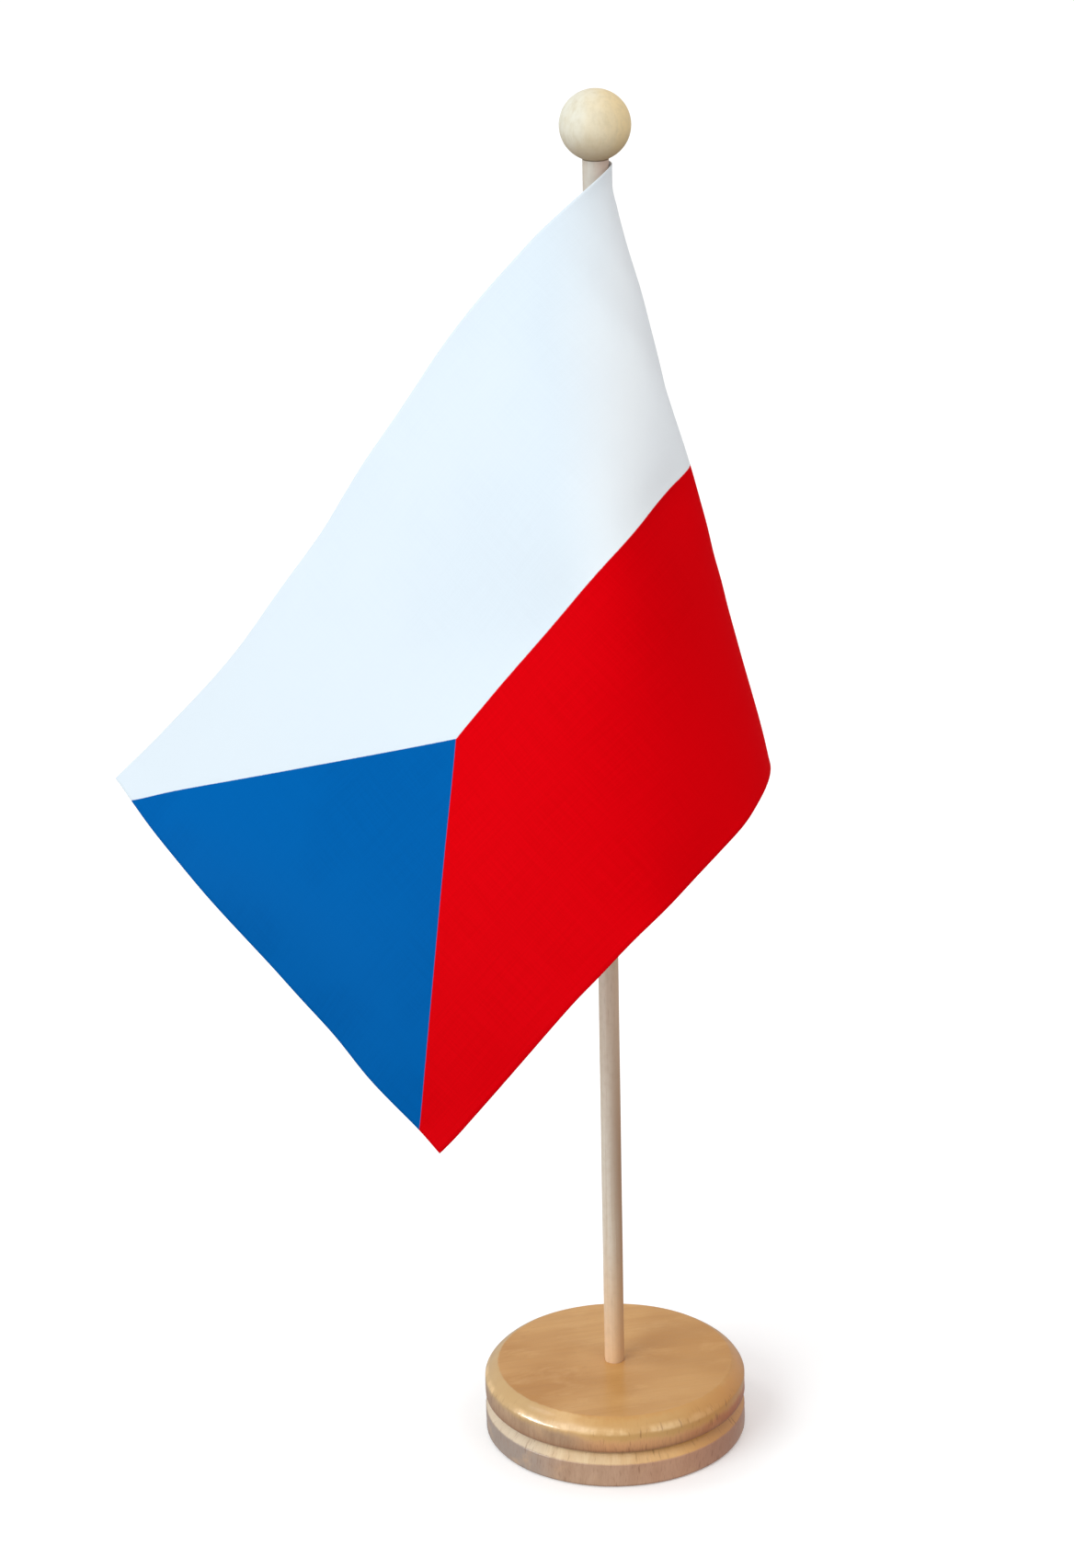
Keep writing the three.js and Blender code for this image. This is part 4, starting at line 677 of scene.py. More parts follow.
# ------------------------------------------------------------------ flag
# The cloth's middle surface as it hangs, in mm: the same grid that the CAD solid is made from.
ROW_S = [0, 2.5, 5, 7.5, 10, 13, 16, 20, 24, 28, 32, 40, 48, 56, 64, 72, 80, 88, 96, 104, 112, 120, 128, 136, 144, 152, 160, 168, 176, 184, 192, 200, 208, 216, 224, 232, 240]
COL_T = [0, 3, 6, 10, 16, 24, 32, 40, 48, 56, 64, 72, 80, 88, 96, 104, 112, 120, 128, 136, 144, 152, 160]
SHEET = [
    [0.00, 5.00, 394.00, 0.00, 5.00, 391.00, 0.00, 5.00, 388.00, 0.00, 5.00, 384.00, 0.00, 5.00, 378.00, 0.00, 5.00, 370.00, 0.00, 5.00, 362.00, 0.00, 5.00, 354.00, 0.00, 5.00, 346.00, 0.00, 5.00, 338.00, 0.00, 5.00, 330.00, 0.00, 5.00, 322.00, 0.00, 5.00, 314.00, 0.00, 5.00, 306.00, 0.00, 5.00, 298.00, 0.00, 5.00, 290.00, 0.00, 5.00, 282.00, 0.00, 5.00, 274.00, 0.00, 5.00, 266.00, 0.00, 5.00, 258.00, 0.00, 5.00, 250.00, 0.00, 5.00, 242.00, 0.00, 5.00, 234.00],
    [2.62, 4.26, 394.11, 2.45, 4.36, 391.11, 2.49, 4.33, 388.11, 2.53, 4.35, 384.11, 2.51, 4.39, 378.11, 2.45, 4.41, 370.11, 2.42, 4.42, 362.11, 2.42, 4.41, 354.11, 2.42, 4.40, 346.10, 2.42, 4.39, 338.10, 2.42, 4.38, 330.09, 2.43, 4.38, 322.08, 2.43, 4.37, 314.08, 2.44, 4.36, 306.07, 2.44, 4.36, 298.07, 2.44, 4.36, 290.07, 2.45, 4.36, 282.06, 2.45, 4.36, 274.06, 2.45, 4.36, 266.06, 2.46, 4.35, 258.06, 2.48, 4.34, 250.06, 2.49, 4.33, 242.06, 2.52, 4.32, 234.06],
    [4.48, 2.22, 394.17, 4.32, 2.51, 391.18, 4.33, 2.50, 388.18, 4.49, 2.57, 384.18, 4.57, 2.72, 378.18, 4.51, 2.79, 370.19, 4.43, 2.80, 362.20, 4.42, 2.85, 354.20, 4.45, 2.94, 346.19, 4.47, 3.00, 338.18, 4.48, 3.03, 330.17, 4.49, 3.04, 322.16, 4.49, 3.03, 314.15, 4.48, 3.00, 306.14, 4.47, 2.96, 298.13, 4.45, 2.92, 290.13, 4.42, 2.88, 282.12, 4.40, 2.83, 274.12, 4.39, 2.79, 266.11, 4.39, 2.75, 258.11, 4.40, 2.71, 250.11, 4.41, 2.68, 242.11, 4.45, 2.64, 234.12],
    [4.97, -0.53, 394.13, 4.99, -0.35, 391.15, 5.00, -0.11, 388.16, 5.33, 0.16, 384.18, 5.67, 0.45, 378.20, 6.05, 0.76, 370.23, 6.32, 1.02, 362.26, 6.43, 1.23, 354.27, 6.50, 1.42, 346.27, 6.53, 1.56, 338.26, 6.55, 1.64, 330.24, 6.55, 1.67, 322.23, 6.54, 1.66, 314.21, 6.52, 1.62, 306.20, 6.49, 1.55, 298.19, 6.45, 1.48, 290.18, 6.41, 1.40, 282.18, 6.37, 1.32, 274.17, 6.35, 1.25, 266.16, 6.33, 1.18, 258.16, 6.33, 1.11, 250.16, 6.34, 1.05, 242.16, 6.38, 0.99, 234.17],
    [4.02, -2.97, 393.91, 4.09, -2.87, 390.97, 4.47, -2.51, 388.02, 5.42, -2.22, 384.06, 6.54, -1.82, 378.12, 7.44, -1.32, 370.20, 8.10, -0.86, 362.29, 8.34, -0.51, 354.31, 8.47, -0.22, 346.32, 8.54, 0.00, 338.31, 8.57, 0.15, 330.30, 8.58, 0.23, 322.28, 8.58, 0.24, 314.27, 8.56, 0.20, 306.25, 8.52, 0.13, 298.24, 8.46, 0.03, 290.23, 8.41, -0.08, 282.22, 8.35, -0.18, 274.21, 8.31, -0.28, 266.21, 8.29, -0.38, 258.20, 8.28, -0.46, 250.20, 8.29, -0.54, 242.20, 8.34, -0.61, 234.22],
    [2.67, -5.45, 393.38, 2.97, -5.36, 390.52, 3.88, -5.21, 387.63, 5.22, -4.97, 383.75, 7.00, -4.54, 377.90, 8.71, -3.92, 370.08, 9.89, -3.29, 362.24, 10.37, -2.79, 354.30, 10.64, -2.37, 346.33, 10.79, -2.03, 338.35, 10.88, -1.78, 330.35, 10.93, -1.63, 322.34, 10.95, -1.56, 314.32, 10.94, -1.57, 306.31, 10.91, -1.64, 298.29, 10.85, -1.75, 290.28, 10.79, -1.87, 282.27, 10.73, -1.99, 274.26, 10.68, -2.11, 266.26, 10.64, -2.23, 258.25, 10.63, -2.33, 250.25, 10.65, -2.42, 242.25, 10.69, -2.50, 234.27],
    [1.09, -7.60, 392.53, 1.71, -7.66, 389.77, 2.88, -7.64, 386.98, 4.59, -7.52, 383.21, 6.87, -7.19, 377.51, 9.32, -6.58, 369.82, 11.14, -5.87, 362.09, 11.98, -5.26, 354.21, 12.49, -4.72, 346.29, 12.79, -4.26, 338.34, 12.97, -3.90, 330.37, 13.12, -3.65, 322.38, 13.20, -3.50, 314.37, 13.24, -3.46, 306.35, 13.23, -3.50, 298.34, 13.19, -3.59, 290.32, 13.13, -3.71, 282.31, 13.07, -3.84, 274.31, 13.02, -3.97, 266.30, 12.99, -4.09, 258.30, 12.98, -4.20, 250.29, 13.00, -4.29, 242.30, 13.05, -4.37, 234.31],
    [-1.43, -9.90, 390.97, -0.46, -10.22, 388.38, 1.00, -10.44, 385.75, 3.10, -10.59, 382.18, 5.99, -10.55, 376.72, 9.21, -10.12, 369.28, 11.87, -9.43, 361.72, 13.41, -8.76, 353.97, 14.38, -8.10, 346.15, 15.00, -7.50, 338.27, 15.40, -6.99, 330.35, 15.74, -6.58, 322.40, 15.96, -6.30, 314.41, 16.12, -6.15, 306.41, 16.18, -6.13, 298.39, 16.18, -6.18, 290.38, 16.17, -6.28, 282.37, 16.13, -6.39, 274.37, 16.10, -6.51, 266.36, 16.08, -6.62, 258.36, 16.09, -6.72, 250.36, 16.12, -6.81, 242.36, 16.19, -6.88, 234.38],
    [-4.26, -11.69, 389.03, -3.01, -12.29, 386.63, -1.32, -12.77, 384.18, 1.08, -13.25, 380.83, 4.47, -13.62, 375.66, 8.40, -13.52, 368.51, 11.69, -13.01, 361.17, 13.99, -12.36, 353.59, 15.59, -11.66, 345.89, 16.65, -10.96, 338.11, 17.37, -10.31, 330.26, 17.98, -9.74, 322.37, 18.43, -9.31, 314.43, 18.76, -9.04, 306.45, 18.96, -8.93, 298.44, 19.04, -8.92, 290.43, 19.09, -8.96, 282.43, 19.10, -9.04, 274.43, 19.10, -9.12, 266.42, 19.12, -9.21, 258.42, 19.15, -9.29, 250.42, 19.20, -9.36, 242.43, 19.29, -9.42, 234.44],
    [-7.26, -13.02, 386.77, -5.80, -13.87, 384.55, -3.98, -14.62, 382.27, -1.39, -15.45, 379.15, 2.37, -16.30, 374.29, 6.89, -16.68, 367.47, 10.78, -16.48, 360.39, 13.73, -15.99, 353.02, 15.99, -15.32, 345.49, 17.63, -14.59, 337.84, 18.77, -13.85, 330.08, 19.75, -13.15, 322.28, 20.51, -12.57, 314.41, 21.12, -12.16, 306.47, 21.50, -11.92, 298.48, 21.71, -11.82, 290.48, 21.88, -11.78, 282.49, 21.95, -11.80, 274.49, 22.01, -11.83, 266.48, 22.08, -11.88, 258.48, 22.15, -11.93, 250.48, 22.24, -11.97, 242.49, 22.36, -12.00, 234.51],
    [-10.31, -13.96, 384.25, -8.71, -15.05, 382.19, -6.84, -16.04, 380.07, -4.17, -17.21, 377.17, -0.20, -18.57, 372.62, 4.78, -19.55, 366.18, 9.22, -19.79, 359.39, 12.82, -19.57, 352.28, 15.70, -19.04, 344.94, 17.91, -18.34, 337.44, 19.58, -17.56, 329.81, 21.01, -16.77, 322.12, 22.18, -16.05, 314.34, 23.16, -15.49, 306.46, 23.81, -15.11, 298.51, 24.20, -14.89, 290.53, 24.52, -14.74, 282.54, 24.69, -14.68, 274.55, 24.83, -14.65, 266.55, 24.96, -14.64, 258.55, 25.09, -14.64, 250.55, 25.23, -14.64, 242.56, 25.39, -14.62, 234.57],
    [-16.43, -15.47, 378.94, -14.65, -16.96, 377.17, -12.74, -18.41, 375.36, -10.04, -20.24, 372.88, -5.82, -22.64, 368.96, -0.10, -24.93, 363.30, 5.36, -26.21, 357.15, 10.22, -26.65, 350.58, 14.31, -26.49, 343.66, 17.68, -25.95, 336.49, 20.44, -25.16, 329.14, 22.86, -24.24, 321.70, 25.02, -23.26, 314.15, 26.87, -22.40, 306.43, 28.16, -21.71, 298.56, 28.96, -21.22, 290.61, 29.65, -20.82, 282.65, 30.04, -20.58, 274.67, 30.36, -20.39, 266.67, 30.64, -20.24, 258.68, 30.89, -20.13, 250.68, 31.13, -20.04, 242.70, 31.39, -19.93, 234.71],
    [-22.09, -15.74, 372.95, -20.30, -17.42, 371.30, -18.48, -19.08, 369.63, -15.98, -21.24, 367.36, -12.04, -24.27, 363.84, -6.48, -27.68, 358.81, -0.82, -30.18, 353.33, 4.60, -31.75, 347.39, 9.49, -32.51, 341.02, 13.71, -32.63, 334.29, 17.22, -32.27, 327.26, 20.06, -31.52, 319.98, 22.47, -30.61, 312.59, 25.91, -30.24, 305.46, 29.03, -29.68, 298.14, 30.97, -28.95, 290.41, 32.76, -28.23, 282.63, 33.70, -27.68, 274.68, 34.50, -27.21, 266.73, 35.17, -26.82, 258.77, 35.75, -26.48, 250.80, 36.27, -26.17, 242.84, 36.76, -25.88, 234.87],
    [-27.65, -15.89, 366.90, -25.85, -17.64, 365.30, -24.06, -19.41, 363.70, -21.67, -21.75, 361.55, -17.98, -25.17, 358.27, -12.75, -29.37, 353.70, -7.23, -32.90, 348.80, -1.63, -35.58, 343.48, 3.74, -37.39, 337.72, 8.63, -38.40, 331.51, 12.83, -38.64, 324.86, 16.14, -38.17, 317.78, 18.87, -37.35, 310.47, 22.99, -37.42, 303.69, 26.95, -37.31, 296.80, 30.13, -36.85, 289.50, 32.90, -36.23, 282.02, 35.15, -35.54, 274.36, 36.95, -34.83, 266.58, 38.31, -34.17, 258.72, 39.47, -33.55, 250.83, 40.47, -32.98, 242.92, 41.32, -32.46, 235.00],
    [-33.05, -15.90, 360.75, -31.25, -17.68, 359.17, -29.46, -19.48, 357.60, -27.09, -21.91, 355.52, -23.53, -25.57, 352.38, -18.66, -30.29, 348.12, -13.46, -34.61, 343.66, -7.99, -38.28, 338.90, -2.45, -41.20, 333.75, 2.91, -43.27, 328.18, 7.81, -44.42, 322.08, 11.88, -44.54, 315.38, 15.24, -44.07, 308.30, 19.72, -44.39, 301.73, 24.07, -44.57, 295.06, 27.92, -44.41, 288.06, 31.38, -44.02, 280.85, 34.46, -43.47, 273.47, 37.18, -42.80, 265.94, 39.55, -42.05, 258.31, 41.53, -41.27, 250.59, 43.23, -40.49, 242.80, 44.54, -39.77, 234.95],
    [-38.22, -15.64, 354.42, -36.41, -17.44, 352.87, -34.63, -19.28, 351.33, -32.27, -21.77, 349.29, -28.77, -25.56, 346.24, -24.09, -30.60, 342.17, -19.25, -35.45, 338.00, -14.11, -39.90, 333.65, -8.70, -43.79, 329.04, -3.19, -46.99, 324.10, 2.21, -49.30, 318.70, 7.20, -50.50, 312.67, 11.56, -50.75, 306.10, 16.32, -51.30, 299.71, 20.86, -51.63, 293.13, 25.04, -51.66, 286.30, 28.91, -51.47, 279.27, 32.49, -51.10, 272.08, 35.78, -50.59, 264.77, 38.78, -49.95, 257.34, 41.44, -49.22, 249.81, 43.77, -48.44, 242.19, 45.76, -47.64, 234.50],
    [-43.13, -15.09, 347.93, -41.33, -16.93, 346.41, -39.56, -18.80, 344.90, -37.22, -21.34, 342.90, -33.75, -25.21, 339.91, -29.17, -30.43, 335.94, -24.51, -35.59, 331.94, -19.70, -40.52, 327.84, -14.61, -45.11, 323.58, -9.27, -49.23, 319.12, -3.77, -52.71, 314.35, 1.77, -55.25, 309.11, 7.12, -56.70, 303.33, 12.32, -57.71, 297.26, 17.13, -58.29, 290.85, 21.57, -58.54, 284.17, 25.73, -58.54, 277.30, 29.65, -58.36, 270.29, 33.33, -58.03, 263.15, 36.77, -57.56, 255.91, 39.91, -56.97, 248.55, 42.74, -56.28, 241.10, 45.23, -55.53, 233.56],
    [-47.75, -14.21, 341.29, -45.98, -16.11, 339.81, -44.24, -18.04, 338.33, -41.93, -20.64, 336.37, -38.51, -24.59, 333.43, -33.98, -29.91, 329.53, -29.42, -35.21, 325.61, -24.75, -40.39, 321.63, -19.92, -45.36, 317.55, -14.87, -50.04, 313.34, -9.56, -54.29, 308.94, -4.03, -57.91, 304.27, 1.67, -60.71, 299.23, 7.27, -62.79, 293.82, 12.51, -64.08, 287.88, 17.33, -64.77, 281.52, 21.83, -65.09, 274.89, 26.07, -65.16, 268.09, 30.08, -65.05, 261.14, 33.87, -64.79, 254.08, 37.39, -64.38, 246.90, 40.59, -63.83, 239.60, 43.45, -63.15, 232.19],
    [-52.14, -13.11, 334.55, -50.44, -15.10, 333.11, -48.75, -17.09, 331.67, -46.49, -19.76, 329.74, -43.11, -23.77, 326.86, -38.62, -29.15, 323.00, -34.09, -34.51, 319.13, -29.48, -39.79, 315.20, -24.74, -44.90, 311.19, -19.85, -49.80, 307.09, -14.76, -54.39, 302.85, -9.44, -58.57, 298.44, -3.92, -62.28, 293.84, 1.54, -65.84, 289.21, 7.01, -68.38, 283.99, 12.23, -69.95, 278.17, 17.13, -70.86, 271.94, 21.73, -71.35, 265.43, 26.10, -71.57, 258.72, 30.23, -71.58, 251.87, 34.10, -71.39, 244.88, 37.65, -71.01, 237.74, 40.87, -70.47, 230.48],
    [-56.55, -12.03, 327.83, -54.89, -14.06, 326.41, -53.22, -16.09, 324.99, -50.99, -18.80, 323.10, -47.65, -22.87, 320.25, -43.17, -28.29, 316.43, -38.64, -33.66, 312.58, -34.03, -38.94, 308.67, -29.32, -44.07, 304.69, -24.47, -49.01, 300.62, -19.47, -53.70, 296.44, -14.30, -58.10, 292.14, -9.04, -62.33, 287.78, -4.11, -67.08, 283.72, 1.13, -71.02, 279.24, 6.50, -73.78, 274.08, 11.72, -75.58, 268.36, 16.70, -76.72, 262.25, 21.43, -77.42, 255.87, 25.91, -77.81, 249.27, 30.12, -77.92, 242.49, 34.02, -77.77, 235.52, 37.64, -77.42, 228.41],
    [-61.01, -11.00, 321.13, -59.35, -13.05, 319.72, -57.69, -15.10, 318.32, -55.48, -17.84, 316.45, -52.16, -21.95, 313.63, -47.69, -27.39, 309.84, -43.15, -32.76, 306.01, -38.53, -38.02, 302.11, -33.81, -43.13, 298.14, -28.98, -48.07, 294.08, -24.02, -52.80, 289.93, -18.96, -57.37, 285.72, -13.94, -62.02, 281.54, -9.45, -67.44, 277.82, -4.65, -72.40, 273.88, 0.55, -76.32, 269.34, 5.88, -79.16, 264.18, 11.11, -81.13, 258.54, 16.16, -82.49, 252.55, 20.99, -83.39, 246.27, 25.51, -83.87, 239.73, 29.64, -83.91, 232.93, 33.36, -83.62, 225.90],
    [-65.44, -9.95, 314.41, -63.79, -12.02, 313.02, -62.15, -14.10, 311.63, -59.96, -16.88, 309.79, -56.67, -21.04, 307.01, -52.22, -26.53, 303.26, -47.69, -31.90, 299.45, -43.06, -37.15, 295.56, -38.34, -42.25, 291.60, -33.52, -47.21, 287.56, -28.62, -52.03, 283.45, -23.69, -56.81, 279.33, -18.90, -61.82, 275.32, -14.63, -67.55, 271.77, -10.20, -73.11, 268.17, -5.32, -77.90, 264.10, -0.10, -81.69, 259.45, 5.22, -84.56, 254.30, 10.48, -86.70, 248.74, 15.59, -88.26, 242.86, 20.44, -89.26, 236.65, 24.87, -89.65, 230.07, 28.81, -89.53, 223.17],
    [-69.70, -8.77, 307.58, -68.12, -10.92, 306.24, -66.53, -13.07, 304.90, -64.41, -15.92, 303.11, -61.19, -20.18, 300.39, -56.80, -25.74, 296.71, -52.30, -31.15, 292.93, -47.68, -36.41, 289.06, -42.97, -41.54, 285.11, -38.19, -46.55, 281.10, -33.37, -51.49, 277.05, -28.57, -56.49, 273.02, -23.95, -61.76, 269.15, -19.78, -67.64, 265.70, -15.57, -73.50, 262.28, -10.99, -78.85, 258.52, -6.00, -83.39, 254.28, -0.77, -87.08, 249.56, 4.55, -90.03, 244.45, 9.84, -92.36, 239.01, 14.99, -94.06, 233.22, 19.82, -95.03, 227.00, 24.17, -95.34, 220.39],
    [-73.91, -7.59, 300.72, -72.42, -9.84, 299.44, -70.91, -12.07, 298.16, -68.88, -15.03, 296.43, -65.76, -19.41, 293.80, -61.46, -25.08, 290.20, -57.00, -30.56, 286.47, -52.42, -35.87, 282.64, -47.74, -41.05, 278.73, -43.02, -46.15, 274.76, -38.29, -51.24, 270.77, -33.61, -56.40, 266.83, -29.09, -61.84, 263.05, -24.96, -67.80, 259.65, -20.86, -73.81, 256.32, -16.49, -79.47, 252.75, -11.74, -84.51, 248.78, -6.67, -88.83, 244.40, -1.42, -92.49, 239.66, 3.92, -95.58, 234.63, 9.25, -98.09, 229.30, 14.46, -99.88, 223.58, 19.40, -100.99, 217.48],
    [-78.15, -6.53, 293.83, -76.77, -8.87, 292.64, -75.36, -11.20, 291.43, -73.43, -14.27, 289.79, -70.43, -18.77, 287.26, -66.22, -24.57, 283.75, -61.83, -30.15, 280.10, -57.31, -35.55, 276.32, -52.71, -40.83, 272.47, -48.07, -46.06, 268.57, -43.43, -51.29, 264.67, -38.84, -56.61, 260.80, -34.38, -62.13, 257.07, -30.27, -68.12, 253.71, -26.19, -74.16, 250.40, -21.91, -79.95, 246.90, -17.31, -85.25, 243.08, -12.40, -89.98, 238.90, -7.28, -94.16, 234.43, -2.01, -97.86, 229.70, 3.35, -101.08, 224.75, 8.77, -103.74, 219.52, 14.17, -105.84, 214.01],
    [-82.67, -5.75, 287.08, -81.34, -8.16, 285.94, -79.98, -10.55, 284.79, -78.12, -13.70, 283.22, -75.22, -18.32, 280.79, -71.11, -24.25, 277.40, -66.81, -29.95, 273.83, -62.37, -35.48, 270.14, -57.87, -40.90, 266.38, -53.34, -46.29, 262.58, -48.82, -51.70, 258.78, -44.35, -57.18, 255.04, -39.99, -62.83, 251.41, -35.81, -68.74, 247.99, -31.64, -74.68, 244.60, -27.34, -80.43, 241.07, -22.79, -85.81, 237.27, -17.98, -90.73, 233.19, -12.95, -95.20, 228.85, -7.77, -99.26, 224.30, -2.47, -102.95, 219.57, 2.95, -106.21, 214.65, 8.44, -109.08, 209.58],
    [-87.33, -5.19, 280.39, -86.05, -7.65, 279.31, -84.74, -10.09, 278.22, -82.94, -13.32, 276.73, -80.13, -18.05, 274.42, -76.14, -24.13, 271.14, -71.94, -29.98, 267.69, -67.62, -35.66, 264.12, -63.23, -41.26, 260.47, -58.81, -46.82, 256.79, -54.41, -52.39, 253.12, -50.03, -58.01, 249.48, -45.72, -63.73, 245.91, -41.47, -69.55, 242.43, -37.21, -75.35, 238.93, -32.83, -80.99, 235.30, -28.25, -86.31, 231.46, -23.45, -91.25, 227.37, -18.47, -95.81, 223.07, -13.34, -100.02, 218.59, -8.08, -103.91, 213.95, -2.70, -107.48, 209.17, 2.77, -110.75, 204.27],
    [-92.12, -4.82, 273.76, -90.88, -7.33, 272.75, -89.62, -9.83, 271.73, -87.88, -13.12, 270.32, -85.16, -17.97, 268.13, -81.30, -24.21, 265.01, -77.23, -30.22, 261.70, -73.03, -36.09, 258.26, -68.76, -41.86, 254.74, -64.46, -47.59, 251.19, -60.15, -53.31, 247.64, -55.84, -59.03, 244.08, -51.53, -64.76, 240.53, -47.22, -70.49, 236.97, -42.86, -76.14, 233.36, -38.38, -81.61, 229.60, -33.72, -86.80, 225.65, -28.89, -91.65, 221.51, -23.89, -96.16, 217.18, -18.75, -100.37, 212.69, -13.50, -104.31, 208.08, -8.15, -107.98, 203.36, -2.70, -111.44, 198.52],
    [-96.96, -4.59, 267.16, -95.78, -7.16, 266.23, -94.58, -9.72, 265.29, -92.92, -13.09, 263.99, -90.31, -18.06, 261.93, -86.58, -24.47, 258.99, -82.65, -30.67, 255.84, -78.58, -36.72, 252.56, -74.44, -42.67, 249.19, -70.24, -48.56, 245.77, -66.00, -54.39, 242.30, -61.72, -60.16, 238.79, -57.40, -65.88, 235.22, -53.02, -71.50, 231.58, -48.55, -76.99, 227.83, -43.95, -82.27, 223.93, -39.20, -87.27, 219.86, -34.29, -91.97, 215.62, -29.24, -96.36, 211.22, -24.06, -100.47, 206.71, -18.80, -104.36, 202.09, -13.47, -108.05, 197.40, -8.12, -111.62, 192.69],
    [-101.86, -4.52, 260.60, -100.76, -7.16, 259.77, -99.63, -9.78, 258.92, -98.06, -13.23, 257.73, -95.56, -18.32, 255.84, -91.99, -24.91, 253.09, -88.20, -31.29, 250.12, -84.26, -37.52, 247.01, -80.23, -43.64, 243.79, -76.11, -49.65, 240.47, -71.91, -55.55, 237.06, -67.63, -61.34, 233.54, -63.27, -67.00, 229.92, -58.81, -72.50, 226.17, -54.23, -77.82, 222.28, -49.52, -82.89, 218.24, -44.67, -87.70, 214.05, -39.67, -92.20, 209.70, -34.53, -96.43, 205.23, -29.30, -100.39, 200.65, -23.98, -104.14, 195.99, -18.60, -107.73, 191.27, -13.17, -111.22, 186.53],
    [-106.93, -4.66, 254.16, -105.90, -7.35, 253.43, -104.83, -10.02, 252.67, -103.33, -13.55, 251.59, -100.95, -18.75, 249.86, -97.52, -25.50, 247.32, -93.86, -32.06, 244.54, -90.05, -38.45, 241.59, -86.10, -44.70, 238.49, -82.02, -50.79, 235.24, -77.83, -56.72, 231.83, -73.52, -62.48, 228.28, -69.10, -68.05, 224.57, -64.55, -73.41, 220.70, -59.86, -78.54, 216.67, -55.04, -83.41, 212.50, -50.08, -88.01, 208.18, -44.99, -92.33, 203.74, -39.78, -96.38, 199.19, -34.46, -100.17, 194.54, -29.06, -103.75, 189.83, -23.60, -107.17, 185.06, -18.09, -110.49, 180.28],
    [-112.26, -5.05, 247.95, -111.26, -7.77, 247.29, -110.21, -10.48, 246.59, -108.77, -14.05, 245.61, -106.47, -19.34, 244.03, -103.16, -26.24, 241.69, -99.63, -32.95, 239.10, -95.91, -39.47, 236.28, -92.00, -45.80, 233.24, -87.93, -51.91, 229.99, -83.71, -57.81, 226.54, -79.33, -63.48, 222.90, -74.82, -68.91, 219.07, -70.17, -74.10, 215.08, -65.37, -79.03, 210.93, -60.45, -83.71, 206.64, -55.40, -88.13, 202.23, -50.23, -92.29, 197.71, -44.94, -96.18, 193.10, -39.56, -99.81, 188.40, -34.08, -103.21, 183.63, -28.54, -106.45, 178.82, -22.97, -109.61, 174.01],
    [-117.78, -5.64, 241.91, -116.79, -8.38, 241.30, -115.77, -11.10, 240.67, -114.35, -14.71, 239.78, -112.11, -20.08, 238.33, -108.91, -27.09, 236.18, -105.47, -33.92, 233.74, -101.78, -40.51, 231.00, -97.86, -46.84, 227.95, -93.74, -52.89, 224.63, -89.44, -58.67, 221.07, -84.97, -64.18, 217.30, -80.35, -69.43, 213.35, -75.58, -74.41, 209.23, -70.68, -79.15, 204.98, -65.67, -83.65, 200.61, -60.56, -87.93, 196.15, -55.34, -91.97, 191.59, -50.01, -95.75, 186.94, -44.57, -99.26, 182.21, -39.03, -102.52, 177.40, -33.43, -105.59, 172.55, -27.80, -108.59, 167.70],
    [-123.50, -6.41, 236.06, -122.49, -9.15, 235.48, -121.46, -11.88, 234.88, -120.05, -15.51, 234.06, -117.84, -20.91, 232.74, -114.71, -28.02, 230.75, -111.29, -34.89, 228.39, -107.56, -41.44, 225.60, -103.55, -47.65, 222.43, -99.33, -53.54, 218.97, -94.91, -59.12, 215.27, -90.31, -64.41, 211.37, -85.55, -69.40, 207.29, -80.65, -74.13, 203.08, -75.66, -78.66, 198.76, -70.60, -83.03, 194.36, -65.46, -87.22, 189.88, -60.24, -91.21, 185.33, -54.90, -94.96, 180.68, -49.45, -98.41, 175.95, -43.87, -101.56, 171.13, -38.23, -104.51, 166.26, -32.59, -107.39, 161.36],
    [-129.32, -7.33, 230.29, -128.28, -10.05, 229.73, -127.21, -12.77, 229.16, -125.78, -16.38, 228.38, -123.56, -21.80, 227.14, -120.45, -28.92, 225.26, -116.95, -35.70, 222.83, -113.04, -42.03, 219.86, -108.86, -47.97, 216.50, -104.49, -53.60, 212.89, -99.93, -58.93, 209.07, -95.18, -63.93, 205.06, -90.27, -68.62, 200.90, -85.24, -73.07, 196.63, -80.18, -77.41, 192.29, -75.10, -81.67, 187.90, -69.99, -85.83, 183.45, -64.82, -89.85, 178.92, -59.55, -93.63, 174.32, -54.13, -97.10, 169.62, -48.58, -100.22, 164.83, -42.94, -103.10, 159.95, -37.34, -105.94, 155.03],
    [-135.42, -8.53, 224.80, -134.20, -11.15, 224.12, -133.01, -13.78, 223.47, -131.45, -17.32, 222.64, -129.13, -22.65, 221.38, -125.94, -29.66, 219.49, -122.19, -36.14, 216.84, -117.95, -41.99, 213.57, -113.54, -47.53, 210.04, -109.03, -52.86, 206.35, -104.36, -57.92, 202.48, -99.49, -62.65, 198.43, -94.45, -67.05, 194.25, -89.30, -71.23, 189.97, -84.19, -75.40, 185.65, -79.14, -79.60, 181.29, -74.10, -83.76, 176.88, -69.02, -87.81, 172.41, -63.86, -91.68, 167.86, -58.55, -95.22, 163.22, -53.09, -98.39, 158.48, -47.51, -101.24, 153.66, -42.02, -104.15, 148.69],
